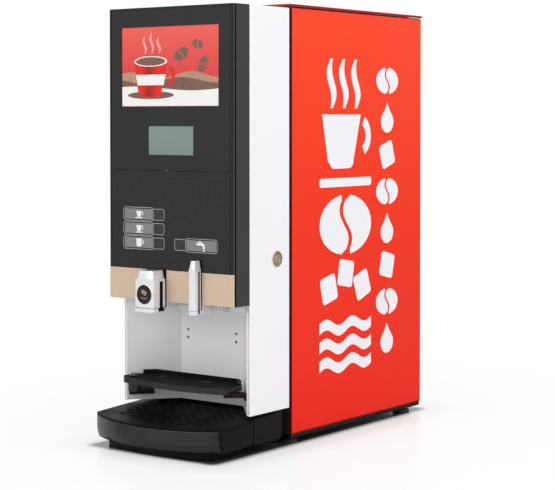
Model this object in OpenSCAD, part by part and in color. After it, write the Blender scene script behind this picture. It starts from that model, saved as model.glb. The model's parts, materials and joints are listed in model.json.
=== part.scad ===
// Table-top hot chocolate dispenser: sheet-metal cabinet with a lift-up lid, a deep door hinged at the
// left that carries the controls and both outlets, a pull-out drip tray and a swing-out cup shelf.
// X runs to the right, Y to the back and Z up. Lengths are in millimetres. Inside the modules, Y = 0 is
// the front face of the door; place() then puts the origin under the middle of the whole machine.

/* [Cabinet] */
// Width of the cabinet and of the door
cabinet_w = 249; // [245:0.5:262]
// Depth of the cabinet behind the door
cabinet_d = 374.5; // [370:0.5:420]
// Height of the top edge of the side panels
cabinet_top = 669; // [660:1:700]
// Height of the lower edge of the side panels
panel_foot_z = 16; // [14:0.5:20]
// Thickness of the sheet metal
sheet_t = 1.5; // [1:0.1:2]
// Gap between the door and the cabinet
door_gap = 4.5; // [3.5:0.1:8]
// Width of a front post of the frame
post_w = 16; // [12:0.5:20]
// Depth of the frame's posts and rails
post_d = 13.5; // [10:0.5:18]
// Height of the frame's lower rail
lower_rail_h = 28; // [20:1:36]
// Height of the frame's upper rail
upper_rail_h = 20; // [14:1:24]

/* [Lid] */
// Height of the lid's folded rim
lid_h = 4; // [3:0.1:8]
// Gap under the lid's rim
lid_gap = 2; // [1.8:0.1:4]
// Overhang of the lid at each side
lid_overhang = 2; // [2:0.1:4]
// Half the distance between the lid's hinge ears
lid_ear_x = 98; // [70:1:104]
// Radius of the lid's hinge pins
lid_pin_r = 1.25; // [1:0.05:1.5]

/* [Feet] */
// Radius of a foot
foot_r = 14; // [10:0.5:18]
// Height of a foot under the floor pan
foot_h = 9.5; // [7:0.5:12]
// Distance from a foot's centre to the side of the cabinet
foot_inset_x = 19.5; // [19:0.5:40]
// Distance from the front feet to the cabinet's front
foot_front_d = 19; // [18:1:40]
// Distance from the rear feet to the cabinet's back
foot_rear_d = 30; // [20:1:60]

/* [Door] */
// Depth of the whole door
door_d = 135; // [130:0.5:150]
// Depth of the dark front housing
fascia_d = 36.5; // [32:0.5:44]
// Height of the door's lower edge
door_foot_z = 58.5; // [58:0.5:62]
// Height of the front housing's lower edge
fascia_z = 224; // [220:1:236]
// Thickness of the door's white shell
shell_t = 2; // [1.2:0.1:3]
// Thickness of the front housing's walls
housing_t = 3; // [2:0.1:4]
// Thickness of the front panels
panel_t = 4; // [3.2:0.1:4.4]
// Distance from the front panels' edges to the side of the door
panel_inset = 2.5; // [1.5:0.1:4]
// Bevel along the front panels' side edges
panel_bevel = 2.5; // [0.5:0.1:3]
// Joint between neighbouring panels
panel_gap = 0.6; // [0.3:0.1:1]
// Height of the trim strip along the lower edge of the front
strip_h = 48; // [44:0.5:52]
// Height of the joint between the lower and the upper front panel
panel_split_z = 422; // [410:1:430]
// Distance from the door's hinge pins to its left side
hinge_inset_x = 8.5; // [8:0.1:10]
// Distance from the door's hinge pins to its back
hinge_inset_y = 7; // [6:0.1:7.5]
// Radius of the door's hinge pins
hinge_pin_r = 3; // [2:0.1:4]

/* [Front panels] */
// Width of the picture insert
picture_w = 190; // [150:1:210]
// Height of the picture insert
picture_h = 120; // [80:1:125]
// Height of the picture insert's centre
picture_z = 579; // [570:1:590]
// Width of the display window
display_w = 89; // [60:1:110]
// Height of the display window
display_h = 44; // [30:1:50]
// Sideways place of the display window's centre
display_x = 2.3; // [-10:0.1:10]
// Height of the display window's centre
display_z = 467.3; // [460:0.1:475]
// Width of a push key
key_w = 20; // [12:0.5:20]
// Height of a push key
key_h = 15; // [10:0.5:16]
// Travel of a push key
key_travel = 0.9; // [0.4:0.1:1]
// Clearance round a push key
key_clear = 0.3; // [0.2:0.05:0.4]
// Distance between rows of keys
key_pitch = 21.8; // [20:0.1:24]
// Height of the lowest row of keys
key_row_z = 311.5; // [305:0.5:320]
// Distance from the middle of the front to a key's centre
key_x = 21.3; // [18:0.1:24]
// Width of a label field
label_w = 57; // [40:1:62]
// Height of a label field
label_h = 16; // [12:0.5:19]
// Distance from the middle of the front to a label's centre
label_x = 61.8; // [61.6:0.1:66]

/* [Cup bay] */
// Depth of the bay's rear wall behind the door's front
bay_back_y = 101; // [90:0.5:104]
// Half width of the bay's flat rear wall
bay_back_hw = 62; // [50:1:80]
// Thickness of the bay's liner
liner_t = 2; // [1.5:0.1:2.4]
// Height of the bay's ceiling
bay_top_z = 212; // [206:0.5:213]
// Half the distance between the two columns of holes in the rear wall
shelf_hole_x = 48; // [30:1:52]
// Height of the upper holes in the rear wall
shelf_hole_z = 169; // [150:1:180]
// Distance between the upper and the lower holes
shelf_hole_pitch = 12.7; // [8:0.1:20]
// Radius of the holes in the rear wall
shelf_hole_r = 2.1; // [1.5:0.1:3]

/* [Outlets] */
// Sideways place of the chocolate outlet
choc_x = -25.5; // [-34:0.5:-22]
// Width of the chocolate outlet
choc_w = 37; // [30:0.5:40]
// Reach of the chocolate outlet in front of the door
choc_reach = 30; // [24:0.5:36]
// Sideways place of the hot water outlet
water_x = 56; // [48:0.5:60]
// Width of the hot water outlet
water_w = 12.5; // [11:0.1:16]
// Reach of the hot water outlet in front of the door
water_reach = 16; // [15:0.5:22]
// Height of the chocolate outlet's top
choc_top_z = 272; // [268:1:280]
// Height of the hot water outlet's top
water_top_z = 290; // [284:1:296]
// Height of the outlets' lower ends
outlet_z = 209.5; // [206:0.5:211]
// Width of the slot in the side of the chocolate outlet
choc_slot_w = 7.6; // [5:0.1:10]
// Width of the slot in the side of the water outlet
water_slot_w = 4.2; // [2:0.1:5]
// Width of the slot in the chocolate outlet's collar
choc_foot_w = 14; // [8:0.5:15]
// Height of the collars under the outlets' covers
collar_h = 6; // [4:0.1:6.2]
// Height of the caps on the outlets' covers
cap_h = 12.5; // [9:0.5:15]
// Bore radius of the chocolate outlet
choc_bore_r = 6; // [4:0.5:7]
// Bore radius of the hot water outlet
water_bore_r = 2.6; // [2.2:0.1:3]

/* [Cup shelf] */
// Height of the cup shelf's top
shelf_z = 101; // [98:0.5:120]
// Thickness of the cup shelf
shelf_t = 9; // [6:0.5:12]
// Radius of the cup shelf's bow front
shelf_bow_r = 330; // [280:5:420]
// Reach of the cup shelf in front of the door
shelf_reach = 7; // [2:0.5:14]
// Depth at which the cup shelf's rear edge lies
shelf_back_y = 67; // [60:0.5:70]
// Place of the cup shelf's right end
shelf_right_x = 88; // [80:0.5:90]
// Sideways place of the cup shelf's pivot
shelf_pivot_x = -91; // [-93:0.5:-86]
// Depth of the cup shelf's pivot
shelf_pivot_y = 24; // [20:0.5:27]
// Radius of the rounded end about the pivot
shelf_end_r = 18; // [14:0.5:19]
// Radius of the pivot pin
shelf_pin_r = 4; // [3:0.1:6]
// Height of the raised lip along the rear edge
shelf_lip_h = 6; // [3:0.5:10]

/* [Drip tray] */
// Reach of the drip tray in front of the door
tray_reach = 64; // [56:0.5:80]
// Radius of the drip tray's bow front
tray_bow_r = 235; // [220:1:300]
// Radius of the drip tray's front corners
tray_corner_r = 10; // [6:0.5:16]
// Depth at which the tray meets the base behind it
tray_seam_y = 46; // [40:0.5:52]
// Height of the rim above that joint
rim_z = 52.2; // [50:0.1:53]
// Slope of the rim, down towards the front, in degrees
rim_slope = 2.8; // [1:0.1:3]
// Height of the tray's lower edge
tray_foot_z = 14; // [12:0.5:17]
// Height of the bevel along the lower edge
tray_bevel = 5; // [2:0.5:7]
// Thickness of the tray's walls
tray_t = 2.5; // [2:0.1:4]
// Thickness of the grille
grille_t = 3; // [2:0.1:4]
// Length of the tongue that runs back into the base
tongue_l = 56; // [40:1:57]
// Half width of that tongue
tongue_hw = 107; // [95:1:108]
// Running clearance between the tray and the base
tray_clear = 0.4; // [0.3:0.05:1]
// Depth of the rear end of the base
base_back_y = 117; // [112:0.5:120]
// Length of a drain slot
slot_l = 14; // [8:0.5:15]
// Width of a drain slot
slot_w = 4.2; // [2:0.1:5]
// Distance between drain slots along a row
slot_pitch = 19; // [17:0.5:26]
// Distance between rows of drain slots
row_pitch = 9; // [7:0.5:14]

/* [Lock] */
// Depth of the lock behind the door's front
lock_y = 104; // [98:0.5:108]
// Height of the lock
lock_z = 288.5; // [284:0.5:300]
// Radius of the lock's flange
lock_flange_r = 12; // [10:0.5:13]
// Radius of the turning barrel
lock_barrel_r = 6; // [4:0.1:7]
// Length of the cam from the barrel's axis
cam_l = 50; // [47:0.5:54]

/* [Powder system] */
// Width of the powder canister
canister_w = 130; // [110:1:150]
// Length of the powder canister
canister_l = 180; // [150:1:186]
// Height of the powder canister
canister_h = 240; // [200:1:250]
// Thickness of the canister's walls
canister_t = 2.5; // [2:0.1:4]
// Height of the shelf that carries the canister
deck_z = 397; // [394:1:400]
// Height of the auger above that shelf
auger_h = 22; // [21:0.5:30]
// Outer radius of the auger's flight
auger_r = 14; // [11:0.5:15]
// Radius of the auger's core
auger_core_r = 4; // [3:0.1:5]
// Pitch of the auger's flight
auger_pitch = 24; // [20:1:26]
// Number of pins on the agitator wheel
wheel_pins = 12; // [12:1:14]
// Radius of a pin of the agitator wheel
wheel_pin_r = 1.6; // [1:0.1:2]
// Depth to which the pins reach into the flight
wheel_mesh = 4.5; // [2:0.5:6]

/* [Mixing system] */
// Radius of the mixing bowl's mouth
bowl_r = 42; // [36:0.5:44]
// Depth of the mixing bowl's centre behind the door's front
bowl_y = 187; // [186:0.5:192]
// Height of the mixing bowl's mouth
bowl_top_z = 372; // [366:1:376]
// Height of the whipper's axis
whipper_z = 288; // [284:0.5:292]
// Radius of the whipper's wheel
whipper_r = 17; // [12:0.5:18]
// Height of the tips that feed the outlets
feed_tip_z = 254; // [252:0.5:258]
// Height of the funnels under those tips
funnel_top_z = 250; // [244:0.5:251]
// Depth at which those tips lie
feed_y = 118; // [114:0.5:121]

/* [Water and power] */
// Radius of the boiler
boiler_r = 56; // [48:0.5:58]
// Height of the boiler
boiler_h = 170; // [140:1:174]
// Outer radius of the water inlet's thread
inlet_r = 13.2; // [10:0.1:14]
// Reach of the water inlet behind the cabinet
inlet_reach = 12; // [10:0.5:20]
// Radius of the fan's wheel
fan_r = 36; // [28:0.5:37]
// Length of the power supply's case
supply_l = 130; // [110:1:140]
// Height of the power supply's case
supply_h = 48; // [40:1:54]
// Width of the control board
board_w = 170; // [150:1:190]
// Height of the control board
board_h = 120; // [100:1:140]

/* [Hidden] */
$fn = 48;

// Half width of the machine
hw = cabinet_w / 2;
// Front and back faces of the cabinet
cab_y0 = door_d + door_gap;
cab_y1 = cab_y0 + cabinet_d;
// Middle of the machine, from the tray's bow to the water inlet
mid_y = (cab_y1 + inlet_reach - tray_reach) / 2;
// Clearance of pieces that move past each other
run = 0.3;
// Clearance of a piece in its seat
seat = 0.2;
// Radial clearance of a turning shaft
fit = 0.06;
// Heights and faces that several pieces share
floor_z = foot_h + sheet_t;
door_top = cabinet_top - run;
lid_z = cabinet_top + lid_gap;
lid_top = lid_z + lid_h;
inner_hw = hw - sheet_t;
frame_top = cabinet_top - sheet_t - seat;
open_hw = inner_hw - post_w;
open_z0 = panel_foot_z + lower_rail_h;
open_z1 = frame_top - upper_rail_h;
pivot_x = -hw + hinge_inset_x;
pivot_y = door_d - hinge_inset_y;
hinge_block = hinge_inset_x - shell_t + hinge_pin_r + 4;
flange_w = 12;
lid_axis_y = cab_y1 - 5;
lid_axis_z = lid_top - 3;
lid_knuckle_r = 2.7;
screw_r = 2;
// Bay
bay_front_hw = hw - shell_t - 3.2;
splay_run = bay_front_hw - bay_back_hw;
splay_rise = bay_back_y - fascia_d;
splay_l = sqrt(splay_run * splay_run + splay_rise * splay_rise);
splay_a = atan2(splay_rise, splay_run);
liner_dx = liner_t * splay_l / splay_rise;
liner_foot = door_foot_z + 0.5;
carrier_hw = 84;
carrier_y0 = 22;
gasket_t = 1.2;
carrier_y1 = feed_y + 12;
carrier_top = fascia_z;
// Tray
bow_cy = tray_bow_r - tray_reach;
tongue_y = tray_seam_y + tongue_l;
base_floor_t = 3;
tab_x = -pivot_x - 21;
// Powder system, set out from the bulkhead
bulk_room = 142;
bulk_y = cab_y1 - bulk_room;
bulk_drop = 160;
vent_x = 85;
vent_w = 40;
vent_h = 120;
hatch_w = 150;
hatch_h = 70;
hatch_drop = 100;
canister_x = -10;
canister_gap = 7;
canister_y1 = bulk_y - canister_gap;
canister_y0 = canister_y1 - canister_l;
auger_z = deck_z + auger_h;
trough_r = auger_r + 1.5;
wheel_tip = wheel_pins * auger_pitch / (2 * PI) + 1;
wheel_z = auger_z + auger_r - wheel_mesh + wheel_tip;
flight_lead = 20;
flight_y0 = canister_y0 - flight_lead;
wheel_y = flight_y0 + 5.25 * auger_pitch;
spout_reach = 13;
spout_y = canister_y0 - spout_reach;
journal_r = auger_core_r + 2;
axle_r = 4;
// Mixing system
mixer_lead = 10;
mixer_y = bowl_y - mixer_lead;
bracket_gap = 3;
bracket_y = bowl_y + bowl_r + bracket_gap;
whip_shaft_r = 3;
chamber_r = whipper_r + 1.5;
neck_z = whipper_z + chamber_r + 4.5;
// Water and power, set out from the side panels, the bulkhead and the floor
boiler_side = 76.5;
boiler_gap = 47;
boiler_lift = 31;
boiler_x = hw - boiler_side;
boiler_y = bulk_y - boiler_gap;
boiler_z = floor_z + boiler_lift;
valve_lift = 52;
valve_z = boiler_z + boiler_h + valve_lift;
bowl_valve_x = 26;
inlet_lift = 51;
inlet_z = floor_z + inlet_lift;
fan_side = 69.5;
fan_x = -hw + fan_side;
fan_z = 330;
power_side = 48.5;
power_x = -hw + power_side;
power_z = floor_z + inlet_lift;
// Key board
key_board_w = 196;
key_board_h = 84;

function rim_at(y) = rim_z + (y - tray_seam_y) * tan(rim_slope);
function key_row(i) = key_row_z + i * key_pitch;

// Frame of reference

module place() translate([0, -mid_y, 0]) children();

// A flat outline in X and Z, given a thickness towards the back
module facing(y, t) translate([0, y + t, 0]) rotate([90, 0, 0]) linear_extrude(t) children();

// A flat outline in Y and Z, given a thickness towards the right
module sideways(x, t) translate([x, 0, 0]) rotate([90, 0, 90]) linear_extrude(t) children();

// A rod or a bore along Y, from y0 to y1
module rod_y(x, z, r, y0, y1) translate([x, y0, z]) rotate([-90, 0, 0]) cylinder(r = r, h = y1 - y0);

// A rod or a bore along X, from x0 to x1
module rod_x(y, z, r, x0, x1) translate([x0, y, z]) rotate([0, 90, 0]) cylinder(r = r, h = x1 - x0);

module rod_z(x, y, r, z0, z1) translate([x, y, z0]) cylinder(r = r, h = z1 - z0);

// A block given by two opposite corners
module block(a, b) translate(a) cube(b - a);

module rounded(w, h, r) {
  square([w - 2 * r, h], center = true);
  square([w, h - 2 * r], center = true);
  for (x = [-1, 1], y = [-1, 1]) translate([x * (w / 2 - r), y * (h / 2 - r)]) circle(r);
}

module mirrored() {
  children();
  mirror([1, 0, 0]) children();
}

// Outline with straight sides, a bow front and rounded front corners
function bow_points(half_w, back_y, bow_r, corner_r) =
  let (cx = half_w - corner_r, arm = bow_r - corner_r, a = asin(cx / arm), cy = bow_cy - arm * cos(a),
    side = concat([[half_w, back_y]],
      [for (i = [0:6]) let (t = 90 - (90 - a) * i / 6) [cx + corner_r * sin(t), cy - corner_r * cos(t)]],
      [for (i = [1:12]) let (t = a * (1 - i / 13)) [bow_r * sin(t), bow_cy - bow_r * cos(t)]]))
  concat(side, [for (i = [len(side) - 1:-1:0]) [-side[i][0], side[i][1]]]);

// That outline as a block, with a bevel along its lower edge
module bow_block(half_w, back_y, bow_r, corner_r, z0, z1, b = 0) {
  if (b == 0) translate([0, 0, z0]) linear_extrude(z1 - z0)
    polygon(bow_points(half_w, back_y, bow_r, corner_r));
  else hull() {
    translate([0, 0, z0]) linear_extrude(0.2)
      polygon(bow_points(half_w - b / 2, back_y, bow_r - b / 2, corner_r - b / 2));
    translate([0, 0, z0 + b]) linear_extrude(z1 - z0 - b)
      polygon(bow_points(half_w, back_y, bow_r, corner_r));
  }
}

// All that lies above the sloping rim, lowered by d
module above_rim(d = 0) translate([0, tray_seam_y, rim_z - d]) rotate([rim_slope, 0, 0])
  translate([-hw - 10, -200, 0]) cube([2 * hw + 20, 400, 60]);

// Cabinet

module floor_pan() place() color("dimgray") {
  difference() {
    union() {
      block([-hw + 1, cab_y0 + 0.5, foot_h], [hw - 1, cab_y1 - sheet_t, floor_z]);
      mirrored()
        block([hw - 1 - sheet_t, cab_y0 + 0.5, foot_h], [hw - 1, cab_y1 - sheet_t, panel_foot_z - run]);
      mirrored() block([inner_hw - sheet_t, cab_y0 + post_d + 1, foot_h],
        [inner_hw, cab_y1 - 3 * sheet_t, panel_foot_z + 12]);
      block([-inner_hw + flange_w + 1, cab_y1 - 2 * sheet_t, foot_h],
        [inner_hw - flange_w - 1, cab_y1 - sheet_t, panel_foot_z + 14]);
    }
    for (i = [0:5])
      block([-95, cab_y0 + 150 + i * 14, foot_h - 1], [-55, cab_y0 + 156 + i * 14, floor_z + 1]);
  }
  // saddle that carries the boiler
  difference() {
    block([boiler_x - boiler_r, boiler_y - 40, floor_z - 0.5],
      [boiler_x + boiler_r, boiler_y + 40, boiler_z]);
    block([boiler_x - boiler_r + sheet_t, boiler_y - 41, floor_z],
      [boiler_x + boiler_r - sheet_t, boiler_y + 41, boiler_z - sheet_t]);
    rod_z(boiler_x, boiler_y, 22, floor_z + 2, boiler_z + 1);
  }
}

module front_frame() place() color("black") {
  difference() {
    facing(cab_y0, post_d) difference() {
      translate([-inner_hw, panel_foot_z]) square([2 * inner_hw, frame_top - panel_foot_z]);
      translate([-open_hw, open_z0]) square([2 * open_hw, open_z1 - open_z0]);
    }
    facing(cab_y0 + sheet_t, post_d) difference() {
      translate([-inner_hw + sheet_t, panel_foot_z + sheet_t])
        square([2 * inner_hw - 2 * sheet_t, frame_top - panel_foot_z - 2 * sheet_t]);
      translate([-open_hw - sheet_t, open_z0 - sheet_t])
        square([2 * open_hw + 2 * sheet_t, open_z1 - open_z0 + 2 * sheet_t]);
    }
  }
  // toe that stands on the floor pan
  block([-open_hw, cab_y0 + 0.5, floor_z], [open_hw, cab_y0 + 0.5 + sheet_t, panel_foot_z + 1]);
  // stud behind which the lock's cam turns
  stud_y = lock_y + cam_l - 7;
  block([open_hw - 1.5, stud_y - 4, lock_z - 4], [open_hw + 0.5, stud_y + 4, lock_z + 4]);
  rod_x(stud_y, lock_z, 2, hw - 29, open_hw);
}

module side_panel() {
  sideways(hw - sheet_t, sheet_t)
    polygon([[cab_y0, panel_foot_z], [cab_y1, panel_foot_z], [cab_y1, cabinet_top], [cab_y0, cabinet_top]]);
  block([hw - flange_w, cab_y0, cabinet_top - sheet_t], [hw, cab_y1 - sheet_t, cabinet_top]);
  difference() {
    block([hw - flange_w, cab_y1 - 2 * sheet_t, panel_foot_z + 1], [hw, cab_y1 - sheet_t, cabinet_top]);
    rear_screw_holes();
  }
}

module side_panel_left() place() color("red") mirror([1, 0, 0]) side_panel();
module side_panel_right() place() color("red") side_panel();

screw_x = inner_hw - 6;
screw_zs = [panel_foot_z + 20, (panel_foot_z + cabinet_top) / 2, cabinet_top - 20];

module rear_screw_holes()
  mirrored() for (z = screw_zs) rod_y(screw_x, z, screw_r + 0.1, cab_y1 - 20, cab_y1 + 5);

module rear_screws() place() color("silver") mirrored() for (z = screw_zs) {
  rod_y(screw_x, z, screw_r, cab_y1 - 6, cab_y1);
  difference() {
    rod_y(screw_x, z, 3.8, cab_y1, cab_y1 + 2);
    block([screw_x - 3, cab_y1 + 1, z - 0.5], [screw_x + 3, cab_y1 + 3, z + 0.5]);
  }
}

module rear_panel() place() color("dimgray") {
  difference() {
    facing(cab_y1 - sheet_t, sheet_t) difference() {
      translate([0, (panel_foot_z + cabinet_top) / 2])
        square([2 * (inner_hw - seat), cabinet_top - panel_foot_z], center = true);
      for (i = [0:6], x = [-42, 42])
        translate([x, cabinet_top - 70 - i * 12]) square([70, 4], center = true);
      translate([fan_x, fan_z]) for (q = [0:3]) rotate(q * 90) intersection() {
        difference() {
          circle(fan_r);
          circle(13);
          difference() {
            circle(26);
            circle(23);
          }
        }
        translate([1.5, 1.5]) square(fan_r);
      }
      translate([power_x, power_z + 13]) square([28, 50], center = true);
      translate([boiler_x, inlet_z]) circle(inlet_r + 2.8);
    }
    rear_screw_holes();
  }
  // inward flange along the top, with the lugs that hold the lid
  block([-hw + flange_w + seat, cab_y1 - 14, cabinet_top - sheet_t],
    [hw - flange_w - seat, cab_y1 - sheet_t / 2, cabinet_top]);
  mirrored() difference() {
    union() {
      rod_x(lid_axis_y, lid_axis_z, 3, lid_ear_x, lid_ear_x + 4);
      block([lid_ear_x, lid_axis_y - 3, cabinet_top - sheet_t / 2],
        [lid_ear_x + 4, lid_axis_y + 3, lid_axis_z]);
    }
    rod_x(lid_axis_y, lid_axis_z, lid_pin_r + fit, lid_ear_x - 1, lid_ear_x + 5);
  }
}

module feet() place() color("black")
  for (s = [-1, 1], y = [cab_y0 + foot_front_d, cab_y1 - foot_rear_d])
    translate([s * (hw - foot_inset_x), y, 0]) {
    cylinder(r = foot_r, h = foot_h * 0.45);
    translate([0, 0, foot_h * 0.45]) cylinder(r1 = foot_r, r2 = foot_r * 0.6, h = foot_h * 0.25);
    cylinder(r = 5, h = foot_h);
  }

module base_moulding() place() color("black") {
  difference() {
    union() {
      sideways(-hw, 2 * hw) base_side();
      mirrored() block([tab_x - 25, base_back_y - 3, tray_foot_z + 3],
        [tab_x, cab_y0, panel_foot_z + lower_rail_h - 4]);
    }
    // room for the tray's tongue
    block([-tongue_hw - tray_clear, tray_seam_y - 1, tray_foot_z + base_floor_t],
      [tongue_hw + tray_clear, tongue_y + tray_clear, rim_z + 20]);
    // the arms and the back are hollow from below
    mirrored() block([tongue_hw + tray_clear + tray_t, tray_seam_y + tray_clear + tray_t, tray_foot_z - 1],
      [hw - tray_t, tongue_y, rim_z - 4]);
    block([-tongue_hw, tongue_y + tray_clear + tray_t, tray_foot_z - 1],
      [tongue_hw, base_back_y - tray_t - 1, rim_z - 4]);
    above_rim();
  }
}

// Side view of the base, with its rear lower corner rounded
module base_side() {
  y0 = tray_seam_y + tray_clear;
  r = 10;
  translate([y0, tray_foot_z]) square([base_back_y - r - y0, 60]);
  translate([y0, tray_foot_z + r]) square([base_back_y - y0, 60]);
  translate([base_back_y - r, tray_foot_z + r]) circle(r);
}

module hinge_brackets() place() color("dimgray") {
  x0 = -hw + 1;
  x1 = pivot_x + 12;
  plate_z = door_foot_z - run;
  // lower bracket
  block([x0, pivot_y - 7, plate_z - 3], [x1, cab_y0, plate_z]);
  block([x0, cab_y0 - 2.5, panel_foot_z + 6], [x1, cab_y0, plate_z]);
  rod_z(pivot_x, pivot_y, hinge_pin_r, plate_z - 1, door_foot_z + 11);
  // upper bracket
  block([x0, pivot_y - 7, door_top + run], [x1, cab_y0 + 10, door_top + run + 1.4]);
  block([-hw + flange_w + 1, cab_y0 + 1, frame_top], [x1 + 4, cab_y0 + 10, door_top + run + 1.4]);
  rod_z(pivot_x, pivot_y, hinge_pin_r, door_top - shell_t - 11, door_top + run + 1);
}

// Equipment inside the cabinet

module bulkhead() place() color("silver") difference() {
  facing(bulk_y, sheet_t) difference() {
    translate([-inner_hw, deck_z - bulk_drop]) square([2 * inner_hw, open_z1 - deck_z + bulk_drop]);
    translate([canister_x, auger_z]) circle(journal_r + 3);
    for (x = [-vent_x, vent_x]) translate([x, deck_z + vent_h]) rounded(vent_w, vent_h, 8);
    translate([0, deck_z - hatch_drop]) rounded(hatch_w, hatch_h, 10);
  }
}

module canister_deck() place() color("silver") {
  front = canister_y0 - 6;
  difference() {
    union() {
      block([-inner_hw, front, deck_z - sheet_t], [inner_hw, bulk_y, deck_z]);
      block([-inner_hw, front, deck_z - 16], [inner_hw, front + sheet_t, deck_z]);
    }
    rod_z(canister_x, spout_y, 14.5, deck_z - 20, deck_z + 1);
  }
  for (s = [-1, 1], y = [canister_y0 + 30, canister_y1 - 50])
    block([canister_x + s * (trough_r + 4.5) - 2, y, deck_z - 0.5],
      [canister_x + s * (trough_r + 4.5) + 2, y + 20, deck_z + 12]);
}

module canister_outline(g) {
  tr = trough_r + g;
  side = canister_w / 2 - canister_t + g;
  top = deck_z + canister_h + 5;
  polygon([[-tr, auger_z], [-side, auger_z + side - tr], [-side, top], [side, top],
    [side, auger_z + side - tr], [tr, auger_z]]);
  translate([0, auger_z]) circle(tr);
}

module canister() place() color("white", 0.6) translate([canister_x, 0, 0]) difference() {
  union() {
    facing(canister_y0, canister_l) intersection() {
      canister_outline(canister_t);
      translate([-canister_w, 0]) square([2 * canister_w, deck_z + canister_h]);
    }
    for (y = [canister_y0 + 4, canister_y1 - 18])
      block([-trough_r, y, deck_z], [trough_r, y + 14, auger_z]);
    rod_y(0, auger_z, journal_r + 5, canister_y1 - 5, canister_y1 + 2);
  }
  difference() {
    facing(canister_y0 + canister_t, canister_l - 2 * canister_t) canister_outline(0);
    // bosses for the agitator's axle
    mirrored() rod_x(wheel_y, wheel_z, axle_r + 3.5, canister_w / 2 - canister_t - 6, canister_w / 2);
  }
  rod_y(0, auger_z, trough_r, canister_y0 - 1, canister_y0 + 5);
  rod_y(0, auger_z, journal_r + fit, canister_y1 - 6, canister_y1 + 3);
  rod_x(wheel_y, wheel_z, axle_r + fit, -canister_w / 2 + 1, canister_w / 2 - 1);
}

module canister_spout() place() color("white") translate([canister_x, 0, 0]) difference() {
  union() {
    rod_y(0, auger_z, trough_r + 2.5, canister_y0 - 26, canister_y0);
    rod_z(0, spout_y, 12.5, bowl_top_z + 4, auger_z);
  }
  rod_y(0, auger_z, trough_r, canister_y0 - 24, canister_y0 + 1);
  rod_z(0, spout_y, 10.5, bowl_top_z + 3, auger_z);
}

module canister_lid() place() color("saddlebrown") translate([canister_x, 0, 0]) {
  z = deck_z + canister_h + run;
  difference() {
    block([-canister_w / 2 - 2, canister_y0 - 2, z - 8], [canister_w / 2 + 2, canister_y1 + 2, z + 3]);
    block([-canister_w / 2 - run, canister_y0 - run, z - 9],
      [canister_w / 2 + run, canister_y1 + run, z]);
  }
  y = (canister_y0 + canister_y1) / 2;
  block([-30, y - 5, z + 2], [30, y + 5, z + 8]);
}

module auger() place() color("ivory") translate([canister_x, 0, 0]) {
  flight_l = canister_y1 - canister_t - 2 - flight_y0;
  turns = flight_l / auger_pitch;
  wedge = 18;
  translate([0, flight_y0, auger_z]) rotate([-90, 0, 0])
    linear_extrude(height = flight_l, twist = -360 * turns, slices = round(turns * 12))
      polygon([[1, 0], [auger_r * cos(wedge), -auger_r * sin(wedge)],
        [auger_r * cos(wedge), auger_r * sin(wedge)]]);
  rod_y(0, auger_z, auger_core_r, flight_y0 - 1, flight_y0 + flight_l);
  rod_y(0, auger_z, journal_r, flight_y0 + flight_l - 0.5, bulk_y - 1);
  rod_y(0, auger_z, axle_r, bulk_y - 2, bulk_y + 22);
}

module agitator_wheel() place() color("ivory") translate([canister_x, wheel_y, wheel_z]) {
  reach = canister_w / 2 - canister_t + 1;
  rotate([0, 90, 0]) {
    translate([0, 0, -reach]) cylinder(r = axle_r, h = 2 * reach);
    translate([0, 0, -8]) cylinder(r = 9, h = 16);
    translate([0, 0, -1.5]) difference() {
      cylinder(r = wheel_tip * 0.66, h = 3);
      translate([0, 0, -1]) cylinder(r = wheel_tip * 0.66 - 4, h = 5);
    }
  }
  for (i = [0:wheel_pins - 1]) rotate([i * 360 / wheel_pins, 0, 0]) translate([0, 0, -wheel_tip])
    cylinder(r = wheel_pin_r, h = wheel_tip - 5);
}

module dosing_motor() place() color("darkslategray") translate([canister_x, 0, 0]) difference() {
  y = bulk_y + sheet_t;
  union() {
    facing(y, 26) translate([0, auger_z - 8]) rounded(64, 72, 10);
    rod_y(0, auger_z - 18, 19, y + 25, y + 74);
    rod_y(0, auger_z - 18, 6, y + 73, y + 80);
    block([8, y + 24, auger_z - 42], [20, y + 40, auger_z - 32]);
  }
  rod_y(0, auger_z, axle_r + fit, y - 1, y + 23);
}

module mixer_bracket() place() color("silver") {
  facing(bracket_y, sheet_t) difference() {
    translate([choc_x - 45, whipper_z - 45]) square([90, deck_z - sheet_t - whipper_z + 45]);
    translate([choc_x, whipper_z]) circle(10);
  }
  block([choc_x - 45, bracket_y - 18, deck_z - 2 * sheet_t],
    [choc_x + 45, bracket_y + sheet_t, deck_z - sheet_t]);
}

module mixing_bowl() place() color("white") translate([choc_x, bowl_y, 0]) rotate_extrude() {
  polygon([[12.3, neck_z], [14.3, neck_z], [14.3, neck_z + 8], [bowl_r, bowl_top_z - 36],
    [bowl_r, bowl_top_z - 2], [bowl_r + 1.5, bowl_top_z - 2], [bowl_r + 1.5, bowl_top_z],
    [bowl_r - 2, bowl_top_z], [bowl_r - 2, bowl_top_z - 35], [12.3, neck_z + 9]]);
}

module whipper_housing() place() color("ivory") difference() {
  y0 = mixer_y - 12;
  y1 = mixer_y + 30;
  union() {
    rod_y(choc_x, whipper_z, chamber_r + 3, y0, y1);
    rod_y(choc_x, whipper_z, 16, y1 - 1, bracket_y);
    rod_z(choc_x, bowl_y, 12, whipper_z, whipper_z + chamber_r + 14);
    rod_z(choc_x, bowl_y, 14.3, whipper_z, neck_z);
    rod_y(choc_x, whipper_z - 9, 8, y0 - 10, y0 + 1);
  }
  rod_y(choc_x, whipper_z, chamber_r, y0 + 3, y1 - 3);
  rod_y(choc_x, whipper_z, 12, y1 + 3, bracket_y + 1);
  rod_y(choc_x, whipper_z, whip_shaft_r + fit, y1 - 4, y1 + 4);
  rod_z(choc_x, bowl_y, 9, whipper_z, whipper_z + chamber_r + 15);
  rod_y(choc_x, whipper_z - 9, 6, y0 - 11, y0 + 4);
}

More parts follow.
